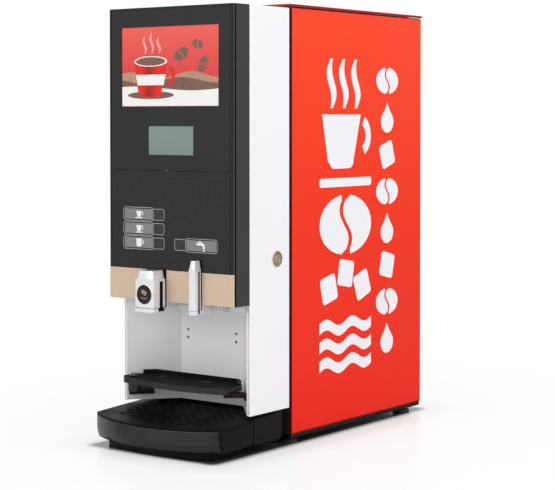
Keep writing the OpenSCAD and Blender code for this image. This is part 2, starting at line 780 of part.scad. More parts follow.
module whipper() place() color("dimgray") {
  y0 = mixer_y - 4;
  rod_y(choc_x, whipper_z, whip_shaft_r, y0, bracket_y + 22);
  rod_y(choc_x, whipper_z, 7, y0 - 2, y0 + 12);
  rod_y(choc_x, whipper_z, whipper_r, y0 + 9, y0 + 12);
  for (i = [0:5]) translate([choc_x, 0, whipper_z]) rotate([0, i * 60, 0])
    block([5, y0, -1], [whipper_r - 1, y0 + 10, 1]);
}

module whipper_motor() place() color("darkslategray") difference() {
  y = bracket_y + sheet_t;
  union() {
    rod_y(choc_x, whipper_z, 13, y, y + 4);
    rod_y(choc_x, whipper_z, 24, y + 3, y + 56);
    rod_y(choc_x, whipper_z, 19, y + 55, y + 60);
  }
  rod_y(choc_x, whipper_z, whip_shaft_r + fit, y - 1, y + 22);
  for (i = [0:7]) translate([choc_x, 0, whipper_z]) rotate([0, i * 45, 0])
    block([22, y + 12, -3], [26, y + 46, 3]);
}

// Pipe that runs forward along -Y and turns down to a tip
module down_pipe(x, z, r, wall, y_from, y_tip, z_tip, bend_r) {
  difference() {
    rod_y(x, z, r, y_tip + bend_r, y_from);
    rod_y(x, z, r - wall, y_tip + bend_r - 1, y_from + 1);
  }
  translate([x, y_tip + bend_r, z - bend_r]) rotate([90, 0, -90]) rotate_extrude(angle = 90)
    translate([bend_r, 0]) difference() {
      circle(r);
      circle(r - wall);
    }
  difference() {
    rod_z(x, y_tip, r, z_tip, z - bend_r);
    rod_z(x, y_tip, r - wall, z_tip - 1, z - bend_r + 1);
  }
}

module chocolate_feed() place() color("whitesmoke")
  down_pipe(choc_x, whipper_z - 9, 9.6, 1.55, mixer_y - 12, feed_y, feed_tip_z, 14);

module boiler() place() color("silver") {
  rod_z(boiler_x, boiler_y, boiler_r - 2, boiler_z, boiler_z + boiler_h);
  rod_z(boiler_x, boiler_y, boiler_r, boiler_z + 4, boiler_z + boiler_h - 12);
  rod_z(boiler_x, boiler_y, boiler_r + 2, boiler_z + boiler_h - 12, boiler_z + boiler_h - 8);
  rod_z(boiler_x, boiler_y, 20, boiler_z - 8, boiler_z + 1);
  for (x = [bowl_valve_x, water_x]) rod_z(x, boiler_y - 10, 5, boiler_z + boiler_h - 1, valve_z - 12);
  rod_y(boiler_x, inlet_z, 8, boiler_y + boiler_r - 4, boiler_y + boiler_r + 10);
}

module water_valves() place() color("whitesmoke")
  for (x = [bowl_valve_x, water_x]) difference() {
    union() {
      block([x - 10, boiler_y - 25, valve_z - 12], [x + 10, boiler_y + 5, valve_z + 11]);
      rod_y(x, valve_z, 12, boiler_y + 4, boiler_y + 32);
      rod_y(x, valve_z, 6.5, boiler_y - 33, boiler_y - 24);
    }
    rod_y(x, valve_z, 4.1, boiler_y - 34, boiler_y - 19);
  }

module water_pipes() place() color("whitesmoke") {
  down_pipe(water_x, valve_z, 4, 1.2, boiler_y - 19, feed_y, feed_tip_z, 8);
  difference() {
    bowl_pipe(4, 0);
    bowl_pipe(2.8, 1);
  }
  rod_y(boiler_x, inlet_z, 6, boiler_y + boiler_r + 10, cab_y1 - 52);
}

// Pipe from the bowl's valve: forward, up beside the bowl, and over its rim
module bowl_pipe(r, e) {
  bend = 10;
  y = bowl_y + 3;
  z = bowl_top_z + 12;
  x = bowl_valve_x;
  rod_y(x, valve_z, r, y + bend, boiler_y - 19 + e);
  translate([x, y + bend, valve_z + bend]) rotate([-90, 0, -90]) rotate_extrude(angle = 90)
    translate([bend, 0]) circle(r);
  rod_z(x, y, r, valve_z + bend, z - bend);
  translate([x - bend, y, z - bend]) rotate([90, 0, 0]) rotate_extrude(angle = 90)
    translate([bend, 0]) circle(r);
  rod_x(y, z, r, x - bend - 14 - e, x - bend);
}

module inlet_valve() place() color("goldenrod") difference() {
  union() {
    rod_y(boiler_x, inlet_z, inlet_r, cab_y1 - 16, cab_y1 + inlet_reach);
    rod_y(boiler_x, inlet_z, inlet_r + 4.5, cab_y1 - 16, cab_y1 - sheet_t);
    block([boiler_x - 13, cab_y1 - 52, inlet_z - 14], [boiler_x + 13, cab_y1 - 15, inlet_z + 14]);
    rod_z(boiler_x, cab_y1 - 34, 13, inlet_z + 13, inlet_z + 44);
  }
  rod_y(boiler_x, inlet_z, inlet_r - 5, cab_y1 - 8, cab_y1 + inlet_reach + 1);
}

module power_supply() place() color("silver") {
  a = [-inner_hw + 12, bulk_y - supply_l + 27.5, floor_z];
  b = [boiler_x - boiler_r - 14, bulk_y + 27.5, floor_z + supply_h];
  difference() {
    block(a, b);
    block(a + [sheet_t, sheet_t, sheet_t], b - [sheet_t, sheet_t, sheet_t]);
    for (i = [0:10])
      block([a[0] + 8, a[1] + 10 + i * 10.5, b[2] - 5], [b[0] - 8, a[1] + 14 + i * 10.5, b[2] + 1]);
  }
  block(a + [6, 8, sheet_t - 0.2], [b[0] - 6, b[1] - 8, a[2] + 6]);
}

module control_board() place() color("darkgreen") {
  y = cab_y1 - sheet_t - 14;
  z = deck_z + 110;
  facing(y, 1.6) translate([0, z]) rounded(board_w, board_h, 4);
  for (x = [-1, 1] * (board_w / 2 - 7), dz = [-1, 1] * (board_h / 2 - 7))
    rod_y(x, z + dz, 3, y + 1.5, cab_y1 - sheet_t);
  for (x = [-70:20:70]) block([x - 8, y - 12, z + 40], [x + 8, y + 0.5, z + 52]);
  block([-20, y - 3, z - 20], [20, y + 0.5, z + 15]);
  for (x = [-60, -42, 50]) rod_y(x, z - 30, 8, y - 22, y + 0.5);
  block([20, y - 18, z - 50], [44, y + 0.5, z - 28]);
}

module fan_frame() place() color("black") {
  side = 2 * fan_r + 8;
  y1 = cab_y1 - sheet_t;
  difference() {
    facing(y1 - 25, 25) difference() {
      translate([fan_x, fan_z]) rounded(side, side, 5);
      translate([fan_x, fan_z]) circle(fan_r + 1.5);
    }
    for (x = [-1, 1], z = [-1, 1])
      rod_y(fan_x + x * (fan_r - 1), fan_z + z * (fan_r - 1), 2.2, y1 - 26, y1 + 1);
  }
  for (a = [0, 90]) translate([fan_x, 0, fan_z]) rotate([0, a + 45, 0])
    block([-fan_r - 2, y1 - 4, -2], [fan_r + 2, y1 - 1, 2]);
  rod_y(fan_x, fan_z, 14, y1 - 5, y1 - 1);
  rod_y(fan_x, fan_z, 2, y1 - 20, y1 - 4);
}

module fan_rotor() place() color("black") {
  y0 = cab_y1 - sheet_t - 22;
  difference() {
    union() {
      rod_y(fan_x, fan_z, 14, y0, y0 + 16);
      for (i = [0:6]) translate([fan_x, y0 + 8, fan_z]) rotate([0, i * 360 / 7, 0]) rotate([35, 0, 0])
        block([12, -8, -0.8], [fan_r, 8, 0.8]);
    }
    rod_y(fan_x, fan_z, 2 + fit, y0 - 1, y0 + 17);
  }
}

// Power inlet with the switch's housing above it
module power_inlet() place() color("black") difference() {
  union() {
    facing(cab_y1, 2.5) translate([power_x, power_z + 13]) rounded(34, 58, 4);
    block([power_x - 13.8, cab_y1 - 24, power_z - 11.8], [power_x + 13.8, cab_y1 + 1, power_z + 37.8]);
  }
  difference() {
    facing(cab_y1 - 17, 20) translate([power_x, power_z]) rounded(24, 16, 3);
    for (p = [[-7, -1], [0, 2], [7, -1]]) block([power_x + p[0] - 1, cab_y1 - 18, power_z + p[1] - 2],
      [power_x + p[0] + 1, cab_y1 - 3, power_z + p[1] + 2]);
  }
  block([power_x - 7, cab_y1 - 12, switch_z - 11], [power_x + 7, cab_y1 + 3, switch_z + 11]);
  rod_x(cab_y1 - 3, switch_z, 2 + fit, power_x - 9, power_x + 9);
}

switch_z = power_z + 25;
switch_tilt = 8;

module power_switch() place() color("firebrick") translate([0, cab_y1 - 3, switch_z]) {
  rotate([-switch_tilt, 0, 0]) sideways(power_x - 6.6, 13.2)
    polygon([[-4, -4], [4, -9.4], [6, -9], [3.5, 0], [6, 9], [4, 9.4], [-4, 4]]);
  rod_x(0, 0, 2, power_x - 8.5, power_x + 8.5);
}

// Lid

module lid() place() color("red") {
  x1 = hw + lid_overhang;
  x0 = hw + 0.5;
  block([-x1, door_d, lid_top - sheet_t], [x1, lid_axis_y - 3.3, lid_top]);
  block([-x1, door_d, lid_z], [x1, door_d + sheet_t, lid_top]);
  mirrored() block([x0, door_d, lid_z], [x1, cab_y1, lid_top]);
  mirrored() {
    ear = lid_ear_x - run - 6;
    rod_x(lid_axis_y, lid_axis_z, lid_knuckle_r, ear, ear + 6);
    block([ear, lid_axis_y - 8, lid_axis_z], [ear + 6, lid_axis_y, lid_axis_z + lid_knuckle_r]);
    rod_x(lid_axis_y, lid_axis_z, lid_pin_r, ear + 5, lid_ear_x + 4);
  }
}

// Door

// Plan of a front panel with bevelled side edges, made as high as z0 to z1
module front_plate(z0, z1) {
  x = hw - panel_inset;
  translate([0, 0, z0]) linear_extrude(z1 - z0)
    polygon([[-x, panel_t], [-x, panel_bevel], [-x + panel_bevel, 0], [x - panel_bevel, 0],
      [x, panel_bevel], [x, panel_t]]);
}

module fascia_housing() place() color([0.29, 0.29, 0.3]) {
  y0 = panel_t + 0.6;
  difference() {
    block([-hw, y0, fascia_z], [hw, fascia_d, door_top]);
    block([-hw + housing_t, y0 + 2.5, fascia_z + housing_t],
      [hw - housing_t, fascia_d + 1, door_top - housing_t]);
    block([-hw + 11, y0 - 1, fascia_z + 11], [hw - 11, y0 + 5, door_top - 11]);
  }
  // raised ledge on which the front panels lie
  facing(panel_t, 1) difference() {
    translate([-hw + 4.5, fascia_z + 1]) square([2 * hw - 9, door_top - fascia_z - 2]);
    translate([-hw + 11, fascia_z + 11]) square([2 * hw - 22, door_top - fascia_z - 22]);
  }
}

module upper_panel() place() color([0.23, 0.23, 0.23]) difference() {
  front_plate(panel_split_z + panel_gap / 2, door_top);
  facing(-1, 1 + panel_t - 0.8) translate([0, picture_z])
    square([picture_w + 2 * seat, picture_h + 2 * seat], center = true);
  facing(-1, panel_t + 2) translate([display_x, display_z]) square([display_w, display_h], center = true);
}

module picture_insert() place() color("firebrick")
  facing(0.6, panel_t - 1.4) translate([0, picture_z]) square([picture_w, picture_h], center = true);

module display_window() place() color([0.51, 0.58, 0.56])
  facing(1, panel_t - 1) translate([display_x, display_z])
    square([display_w - seat, display_h - seat], center = true);

module display_module() place() color("darkgreen") {
  facing(panel_t, 8) translate([display_x, display_z]) rounded(display_w + 14, display_h + 14, 3);
  facing(panel_t + 7.5, 2) translate([display_x, display_z]) rounded(display_w + 26, display_h + 20, 3);
  block([display_x - 20, panel_t + 9, display_z - 6], [display_x + 20, panel_t + 16, display_z + 6]);
}

module label_spots() {
  for (i = [0:2]) translate([-label_x, key_row(i)]) children();
  translate([label_x, key_row(0)]) children();
}

module key_spots() {
  for (i = [0:2]) translate([-key_x, key_row(i)]) children();
  translate([key_x, key_row(0)]) children();
}

module lower_panel() place() color([0.23, 0.23, 0.23]) difference() {
  front_plate(fascia_z + strip_h + panel_gap / 2, panel_split_z - panel_gap / 2);
  facing(-1, panel_t + 2) key_spots() rounded(key_w + 2 * key_clear, key_h + 2 * key_clear, 2);
  facing(-1, 1.8) label_spots() square([label_w + 2 * seat, label_h + 2 * seat], center = true);
}

module label_plates() place() color("gray")
  facing(0.1, 0.7) label_spots() square([label_w, label_h], center = true);

module key_board() place() color("darkgreen") {
  y = panel_t + 4;
  facing(y, 1.6) translate([0, key_row(1)]) rounded(key_board_w, key_board_h, 4);
  for (x = [-1, 1] * (key_board_w / 2 - 6), z = [-1, 1] * (key_board_h / 2 - 6))
    rod_y(x, key_row(1) + z, 3, panel_t, y + 0.5);
  pad_y = panel_t + 1.6 + key_travel + run;
  facing(pad_y, y + 0.2 - pad_y) key_spots() square(6, center = true);
}

module trim_strip() place() color([0.78, 0.7, 0.58])
  front_plate(fascia_z, fascia_z + strip_h - panel_gap / 2);

// A key's cap, with the collar that holds it behind the panel
module key(x, i) place() color("dimgray") {
  facing(-0.7, panel_t + 1.2) translate([x, key_row(i)]) rounded(key_w, key_h, 1.7);
  facing(panel_t + run, 1.3) translate([x, key_row(i)]) square([key_w + 4, key_h + 4], center = true);
}

module key_top() key(-key_x, 2);
module key_middle() key(-key_x, 1);
module key_bottom() key(-key_x, 0);
module key_right() key(key_x, 0);

module door_shell() place() color("white") {
  difference() {
    union() {
      mirrored() block([hw - shell_t, fascia_d, door_foot_z], [hw, door_d, door_top]);
      block([-hw, fascia_d, door_top - shell_t], [hw, door_d, door_top]);
      mirrored() block([hw - flange_w, fascia_d, carrier_top + 5],
        [hw - shell_t / 2, fascia_d + shell_t, door_top]);
    }
    rod_x(lock_y, lock_z, 9 + seat, hw - 5, hw + 1);
    rod_z(pivot_x, pivot_y, hinge_pin_r + 0.5, door_top - 5, door_top + 1);
  }
  // blocks that turn on the hinge pins
  for (z = [door_foot_z, door_top - shell_t - 14]) difference() {
    block([-hw + shell_t / 2, door_d - hinge_block, z],
      [-hw + shell_t + hinge_block, door_d, z + 14]);
    rod_z(pivot_x, pivot_y, hinge_pin_r + fit, z - 1, z + 15);
  }
}

// Plan of the bay: the open side is the front
module bay_plan(x_front, x_back, y_back)
  polygon([[-x_front, fascia_d - 10], [-x_front, fascia_d], [-x_back, y_back],
    [x_back, y_back], [x_front, fascia_d], [x_front, fascia_d - 10]]);

function liner_x(y) = bay_front_hw - splay_run * (y - fascia_d) / splay_rise;

module bay_liner() place() color("lightgray") {
  back = bay_back_y + liner_t;
  difference() {
    union() {
      translate([0, 0, liner_foot]) linear_extrude(carrier_top - liner_foot) intersection() {
        bay_plan(bay_front_hw + liner_dx, liner_x(back) + liner_dx, back);
        translate([-hw, fascia_d]) square([2 * hw, 200]);
      }
      block([-hw + shell_t, fascia_d + 4, liner_foot],
        [hw - shell_t, door_d - 1, liner_foot + liner_t]);
    }
    translate([0, 0, liner_foot - 1]) linear_extrude(bay_top_z - liner_t - liner_foot + 1)
      bay_plan(bay_front_hw, bay_back_hw, bay_back_y);
    translate([0, 0, bay_top_z]) linear_extrude(50) bay_plan(bay_front_hw, bay_back_hw, bay_back_y);
    block([-carrier_hw - seat, fascia_d - 1, bay_top_z], [carrier_hw + seat, back + 1, carrier_top + 1]);
    block([-hw, door_d - hinge_block - 1, liner_foot - 1],
      [-hw + shell_t + hinge_block + 1, door_d, liner_foot + 10]);
    for (x = [-1, 1], z = [0, 1]) rod_y(x * shelf_hole_x, shelf_hole_z - z * shelf_hole_pitch, shelf_hole_r,
      bay_back_y - 1, back + 1);
  }
}

module outlet_carrier() place() color("gainsboro") difference() {
  union() {
    block([-carrier_hw, carrier_y0, bay_top_z], [carrier_hw, carrier_y1, carrier_top]);
    for (x = [choc_x, water_x]) block([x - 14, feed_y - 13, bay_top_z], [x + 14, carrier_y1, funnel_top_z]);
  }
  for (x = [choc_x, water_x]) {
    block([x - 12, feed_y - 11, bay_top_z + 4], [x + 12, carrier_y1 - 2, funnel_top_z + 1]);
    block([x - 4, carrier_y0 - 1, bay_top_z + 4], [x + 4, feed_y, bay_top_z + 9]);
  }
}

// Outline of an outlet seen from above, with rounded front corners
module outlet_plan(x, w, reach, back, r) {
  translate([x - w / 2 + r, -reach]) square([w - 2 * r, reach + back]);
  translate([x - w / 2, -reach + r]) square([w, reach + back - r]);
  for (s = [-1, 1]) translate([x + s * (w / 2 - r), -reach + r]) circle(r);
}

// Front cover: a straight body, a cap that draws in from a shoulder, and a slot through both sides
module outlet_cover(x, w, reach, top_z, shoulder, draw, r, slot_w) difference() {
  z0 = outlet_z + collar_h + 0.5;
  z1 = top_z - cap_h;
  union() {
    translate([0, 0, z0]) linear_extrude(z1 - z0) outlet_plan(x, w, reach, -gasket_t, r);
    hull() {
      translate([0, 0, z1 - 0.5]) linear_extrude(0.5)
        outlet_plan(x, w - 2 * shoulder, reach - shoulder, -gasket_t, r, $fn = 24);
      translate([0, 0, top_z - 0.1]) linear_extrude(0.1)
        outlet_plan(x, w - 2 * draw, reach - draw, -gasket_t, r / 2, $fn = 24);
    }
  }
  translate([0, 0, z0 - 1]) linear_extrude(z1 - z0 - 1)
    outlet_plan(x, w - 4, reach - 2, 1, max(r - 2, 0.5));
  outlet_slot(x, w, reach, slot_w, z0 - 1, z1 - 4);
}

// Slot through both side walls, nearer to the door than to the front
module outlet_slot(x, w, reach, slot_w, z0, z1)
  block([x - w, -reach / 3 - slot_w / 2, z0], [x + w, -reach / 3 + slot_w / 2, z1]);

module chocolate_cover() place() color("silver")
  outlet_cover(choc_x, choc_w, choc_reach, choc_top_z, 2.4, 5, 3, choc_slot_w);
module water_cover() place() color("silver")
  outlet_cover(water_x, water_w, water_reach, water_top_z, 0.6, 2.8, 2, water_slot_w);

// Lower collar: it runs back under the door to the carrier, and has the same slot in its sides
module outlet_collar(x, w, reach, r, slot_w) difference() {
  z1 = outlet_z + collar_h;
  union() {
    translate([0, 0, outlet_z]) linear_extrude(z1 - outlet_z) outlet_plan(x, w, reach, 4, r);
    block([x - w / 2, 0, outlet_z], [x + w / 2, carrier_y0, carrier_top]);
  }
  translate([0, 0, outlet_z - 1]) linear_extrude(z1 - outlet_z + 2)
    outlet_plan(x, w - 4, reach - 2, -3, max(r - 2, 0.5));
  outlet_slot(x, w, reach, slot_w, outlet_z + 1.2, z1 + 1);
  block([x - 4, -1, bay_top_z + 4], [x + 4, carrier_y0 + 1, bay_top_z + 9]);
}

module outlet_collars() place() color("silver") {
  difference() {
    outlet_collar(choc_x, choc_w, choc_reach, 3, choc_foot_w);
    // window in the right side, behind the cover
    block([choc_x + choc_w / 2 - 1.4, 9, outlet_z + collar_h + 1],
      [choc_x + choc_w / 2 + 1, 18, outlet_z + collar_h + 6]);
  }
  outlet_collar(water_x, water_w, water_reach, 2, water_slot_w);
}

// Black inner nozzle, seen through the slots, with the gasket behind its cover
module outlet_core(x, w, reach, top_z, core_h, r, bore_r) difference() {
  union() {
    translate([0, 0, outlet_z - 0.5]) linear_extrude(top_z - core_h - outlet_z + 0.5)
      outlet_plan(x, w - 4 - 2 * seat, reach - 2 - seat, -3 - seat, max(r - 2, 0.5));
    block([x - w / 2 + 2 + seat, -5, outlet_z + collar_h + 1],
      [x + w / 2 - 2 - seat, 0, top_z - core_h]);
    block([x - w / 2 - 0.8, -gasket_t, outlet_z + collar_h + 0.5], [x + w / 2 + 0.8, 0, top_z + 0.8]);
  }
  rod_z(x, -(reach + 1) / 2, bore_r, outlet_z - 1, top_z - core_h - 4);
  block([x - bore_r * 0.6, -(reach + 1) / 2, bay_top_z + 4], [x + bore_r * 0.6, 1, bay_top_z + 9]);
}

module outlet_cores() place() color([0.08, 0.08, 0.08]) {
  outlet_core(choc_x, choc_w, choc_reach, choc_top_z, cap_h + 3, 3, choc_bore_r);
  outlet_core(water_x, water_w, water_reach, water_top_z, cap_h + 3, 2, water_bore_r);
}

module lock_housing() place() color("goldenrod") difference() {
  union() {
    rod_x(lock_y, lock_z, lock_flange_r, hw, hw + 1.4);
    rod_x(lock_y, lock_z, 9, hw - 18, hw + 0.5);
    rod_x(lock_y, lock_z, 11.5, hw - shell_t - 3.5, hw - shell_t);
  }
  rod_x(lock_y, lock_z, lock_barrel_r + fit, hw - 19, hw + 2);
}

module lock_barrel() place() color("goldenrod") {
  cam_x = hw - 27;
  difference() {
    rod_x(lock_y, lock_z, lock_barrel_r, cam_x + 1, hw + 1.8);
    block([hw - 3, lock_y - 0.7, lock_z - 3.5], [hw + 3, lock_y + 0.7, lock_z + 3.5]);
  }
  // cam with a curved notch that takes the stud on the frame
  difference() {
    union() {
      rod_x(lock_y, lock_z, 8, cam_x, cam_x + 3);
      block([cam_x, lock_y - 7, lock_z - cam_l], [cam_x + 3, lock_y + 7, lock_z]);
    }
    intersection() {
      difference() {
        rod_x(lock_y, lock_z, cam_l - 2.5, cam_x - 1, cam_x + 4);
        rod_x(lock_y, lock_z, cam_l - 11.5, cam_x - 2, cam_x + 5);
      }
      block([cam_x - 2, lock_y - 3, lock_z - cam_l - 1], [cam_x + 5, lock_y + 10, lock_z - 20]);
    }
  }
}

// Cup shelf

// Frame along the left splayed wall of the bay: X along the wall to the back, Y out of the wall
module on_wall() translate([-bay_front_hw, fascia_d, 0]) rotate(splay_a) mirror([0, 1, 0]) children();

pivot_dx = shelf_pivot_x + bay_front_hw;
pivot_dy = shelf_pivot_y - fascia_d;
pivot_along = pivot_dx * cos(splay_a) + pivot_dy * sin(splay_a);
pivot_out = pivot_dx * sin(splay_a) - pivot_dy * cos(splay_a);

module shelf_supports() place() color([0.1, 0.1, 0.1]) {
  top = shelf_z - shelf_t - run;
  on_wall() {
    block([3, 0, top - 24], [43, 4, top]);
    block([max(pivot_along - 11, 1), 1, top - 14], [pivot_along + 11, pivot_out, top]);
    translate([pivot_along, pivot_out, top - 14]) cylinder(r = 11, h = 14);
    translate([pivot_along, pivot_out, top - 1]) cylinder(r = shelf_pin_r, h = shelf_t + 2 * run + 2);
    translate([pivot_along, pivot_out, shelf_z + run]) cylinder(r1 = 8, r2 = 6.5, h = 4);
  }
  mirror([1, 0, 0]) on_wall() {
    block([8, 0, top - 12], [30, 3, top - 1]);
    block([13, 1, top - 8], [24, 34, top]);
  }
}

// The right edge follows the splayed wall behind it
module shelf_plan() {
  bow_x = 5;
  intersection() {
    translate([bow_x, shelf_bow_r - shelf_reach]) circle(shelf_bow_r);
    polygon([[shelf_pivot_x, -40], [shelf_right_x + 12, -40], [shelf_right_x + 12, 30],
      [shelf_right_x + 5, shelf_back_y - 9], [shelf_right_x - 7, shelf_back_y],
      [shelf_pivot_x, shelf_back_y]]);
  }
  translate([shelf_pivot_x, shelf_pivot_y]) circle(shelf_end_r);
  polygon([[shelf_pivot_x, shelf_pivot_y], [shelf_pivot_x - 14, shelf_pivot_y + 20],
    [shelf_pivot_x + 5, shelf_back_y], [shelf_pivot_x + 20, shelf_back_y]]);
}

// Rear lip, drawn round both rear corners
module shelf_lip() {
  w = 4;
  polygon([[shelf_pivot_x - 8, shelf_back_y - 15], [shelf_pivot_x + 6, shelf_back_y],
    [shelf_right_x - 8, shelf_back_y], [shelf_right_x + 4, shelf_back_y - 9],
    [shelf_right_x + 4 - w, shelf_back_y - 11], [shelf_right_x - 9.5, shelf_back_y - w],
    [shelf_pivot_x + 8, shelf_back_y - w], [shelf_pivot_x - 5, shelf_back_y - 18]]);
}

module cup_shelf() place() color([0.13, 0.13, 0.13]) difference() {
  union() {
    translate([0, 0, shelf_z - shelf_t]) linear_extrude(shelf_t) shelf_plan();
    translate([0, 0, shelf_z - 1]) linear_extrude(shelf_lip_h + 1) shelf_lip();
  }
  // hollow underside
  translate([0, 0, shelf_z - shelf_t - 1]) linear_extrude(shelf_t - 2)
    translate([(shelf_pivot_x + 20 + shelf_right_x) / 2, (shelf_back_y + 6) / 2])
      square([shelf_right_x - shelf_pivot_x - 52, shelf_back_y - 22], center = true);
  translate([shelf_pivot_x, shelf_pivot_y, shelf_z - shelf_t - 1])
    cylinder(r = shelf_pin_r + fit, h = shelf_t + 2);
}

// Drip tray

module drip_tray() place() color([0.12, 0.12, 0.12]) {
  z_tongue = tray_foot_z + base_floor_t + tray_clear;
  difference() {
    union() {
      bow_block(hw, tray_seam_y, tray_bow_r, tray_corner_r, tray_foot_z, rim_z + 10, tray_bevel);
      block([-tongue_hw, tray_seam_y - 5, z_tongue], [tongue_hw, tongue_y, rim_z + 10]);
      bow_block(hw - 20, tray_seam_y - 2, tray_bow_r - 14, tray_corner_r, 0.5, tray_foot_z + 1);
    }
    bow_block(hw - tray_t, tray_seam_y - tray_t, tray_bow_r - tray_t, tray_corner_r - tray_t,
      z_tongue + tray_t, rim_z + 20);
    block([-tongue_hw + tray_t, tray_seam_y - 10, z_tongue + tray_t],
      [tongue_hw - tray_t, tongue_y - tray_t, rim_z + 20]);
    above_rim(grille_t);
  }
}

slot_reach_x = hw - 24;

module drip_grille() place() color([0.1, 0.1, 0.1]) intersection() {
  difference() {
    union() {
      bow_block(hw, tray_seam_y, tray_bow_r, tray_corner_r, rim_z - 20, rim_z + 10);
      block([-tongue_hw, tray_seam_y - 1, rim_z - 20], [tongue_hw, tongue_y, rim_z + 20]);
    }
    translate([0, 0, rim_z - 21]) linear_extrude(60) drain_slots();
  }
  difference() {
    above_rim(grille_t);
    above_rim(0);
  }
}

// Brick pattern of drain slots, kept inside the bow front
module drain_slots() {
  y0 = -tray_reach + 26;
  rows = floor((tongue_y - 12 - y0) / row_pitch);
  for (j = [0:rows]) {
    y = y0 + j * row_pitch;
    bow = sqrt(pow(tray_bow_r - 22, 2) - pow(min(bow_cy - y, tray_bow_r - 22), 2));
    reach = min(slot_reach_x, bow);
    n = floor((reach - slot_l / 2 - (j % 2) * slot_pitch / 2) / slot_pitch);
    for (i = [-n - (j % 2):n]) translate([(i + (j % 2) / 2) * slot_pitch, y])
      square([slot_l, slot_w], center = true);
  }
}

floor_pan();
front_frame();
side_panel_left();
side_panel_right();
rear_panel();
feet();
base_moulding();
hinge_brackets();
bulkhead();
canister_deck();
canister();
canister_spout();
dosing_motor();
mixer_bracket();
mixing_bowl();
whipper_housing();
whipper_motor();
chocolate_feed();
boiler();
water_valves();
water_pipes();
inlet_valve();
power_supply();
control_board();
fan_frame();
power_inlet();
rear_screws();
canister_lid();
auger();
agitator_wheel();
whipper();
fan_rotor();
power_switch();
lid();
drip_tray();
drip_grille();
fascia_housing();
upper_panel();
lower_panel();
trim_strip();
picture_insert();
display_window();
display_module();
label_plates();
key_board();
door_shell();
bay_liner();
outlet_carrier();
chocolate_cover();
water_cover();
outlet_collars();
outlet_cores();
lock_housing();
shelf_supports();
lock_barrel();
key_top();
key_middle();
key_bottom();
key_right();
cup_shelf();
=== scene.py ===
import contextlib
import json
import math

import bmesh
import bpy
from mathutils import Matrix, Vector


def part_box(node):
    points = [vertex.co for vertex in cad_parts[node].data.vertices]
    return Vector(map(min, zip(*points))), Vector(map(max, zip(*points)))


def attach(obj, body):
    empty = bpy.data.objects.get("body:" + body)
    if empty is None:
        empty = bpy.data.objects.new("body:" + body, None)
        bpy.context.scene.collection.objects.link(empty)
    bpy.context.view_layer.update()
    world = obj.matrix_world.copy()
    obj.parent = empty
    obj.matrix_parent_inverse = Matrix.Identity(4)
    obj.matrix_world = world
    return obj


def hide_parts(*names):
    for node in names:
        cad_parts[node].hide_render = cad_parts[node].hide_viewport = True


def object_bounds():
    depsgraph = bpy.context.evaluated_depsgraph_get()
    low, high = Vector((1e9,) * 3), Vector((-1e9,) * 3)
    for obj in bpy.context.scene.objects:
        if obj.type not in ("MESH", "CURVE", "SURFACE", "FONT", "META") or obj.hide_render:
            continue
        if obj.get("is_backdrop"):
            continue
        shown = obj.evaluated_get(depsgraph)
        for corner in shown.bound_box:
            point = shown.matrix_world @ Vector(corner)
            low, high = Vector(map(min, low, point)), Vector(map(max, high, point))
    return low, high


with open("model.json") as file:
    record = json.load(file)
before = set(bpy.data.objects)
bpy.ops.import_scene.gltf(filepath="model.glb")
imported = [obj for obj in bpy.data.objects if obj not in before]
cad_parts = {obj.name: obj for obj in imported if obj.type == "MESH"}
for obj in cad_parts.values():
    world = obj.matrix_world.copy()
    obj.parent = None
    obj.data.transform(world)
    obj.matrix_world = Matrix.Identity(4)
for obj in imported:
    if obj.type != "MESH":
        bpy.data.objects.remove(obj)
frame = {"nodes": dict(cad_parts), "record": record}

bl_info = {
    "name": "Hot Chocolate Dispenser Finish",
    "version": (1, 0, 0),
    "blender": (4, 5, 0),
    "location": "View3D > Sidebar > Dispenser",
    "description": "Builds the finished surfaces of a table-top hot chocolate dispenser on its packed frame",
    "category": "Object",
}

CAD_BOX = [list(corner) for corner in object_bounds()]
# The front face of the door's panels, and the outer face of the right side panel
FACE_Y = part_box("upper_panel")[0].y
SIDE_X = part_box("side_panel_right")[1].x
BODY_OF = {node: body for body, members in frame["record"]["behaviour"]["bodies"].items() for node in members}
SLOT_OF = {part["node"]: part["material_slot"] for part in frame["record"]["subparts"]}


def at(x, y, z):
    """A point given in millimetres: X from the middle, Y back from the front panels, Z from the table."""
    return Vector((x / 1000, FACE_Y + y / 1000, z / 1000))


# Sizes and colours

class DispenserSizes(bpy.types.PropertyGroup):
    """Sizes that a maker would change, in metres"""
    sheet_edge: bpy.props.FloatProperty(
        name="Sheet edge", description="Rounding of folded sheet edges", default=0.0006, unit="LENGTH")
    moulded_edge: bpy.props.FloatProperty(
        name="Moulded edge", description="Rounding of moulded edges", default=0.0010, unit="LENGTH")
    film: bpy.props.FloatProperty(
        name="Film", description="Thickness of vinyl and printed films", default=0.00012, unit="LENGTH")
    badge_radius: bpy.props.FloatProperty(
        name="Badge radius", description="Radius of the dark disc on the chocolate outlet",
        default=0.0152, unit="LENGTH")
    badge_height: bpy.props.FloatProperty(
        name="Badge height", description="Height of the disc's centre above the table", default=0.2365,
        unit="LENGTH")
    frame_groove: bpy.props.FloatProperty(
        name="Frame groove", description="Distance of the front panels' side grooves from the middle",
        default=0.117, unit="LENGTH")
    tray_round: bpy.props.FloatProperty(
        name="Tray round", description="Reach of the round under the tray's front", default=0.0085,
        unit="LENGTH")
    tray_round_z: bpy.props.FloatProperty(
        name="Tray round height", description="Height of the edge over the tray's lower bevel",
        default=0.019, unit="LENGTH")
    dark_border: bpy.props.FloatProperty(
        name="Dark border", description="Width of the right side panel's black border", default=0.0026,
        unit="LENGTH")
    outline: bpy.props.FloatProperty(
        name="Outline", description="Width of the printed outlines round keys and labels", default=0.0007,
        unit="LENGTH")


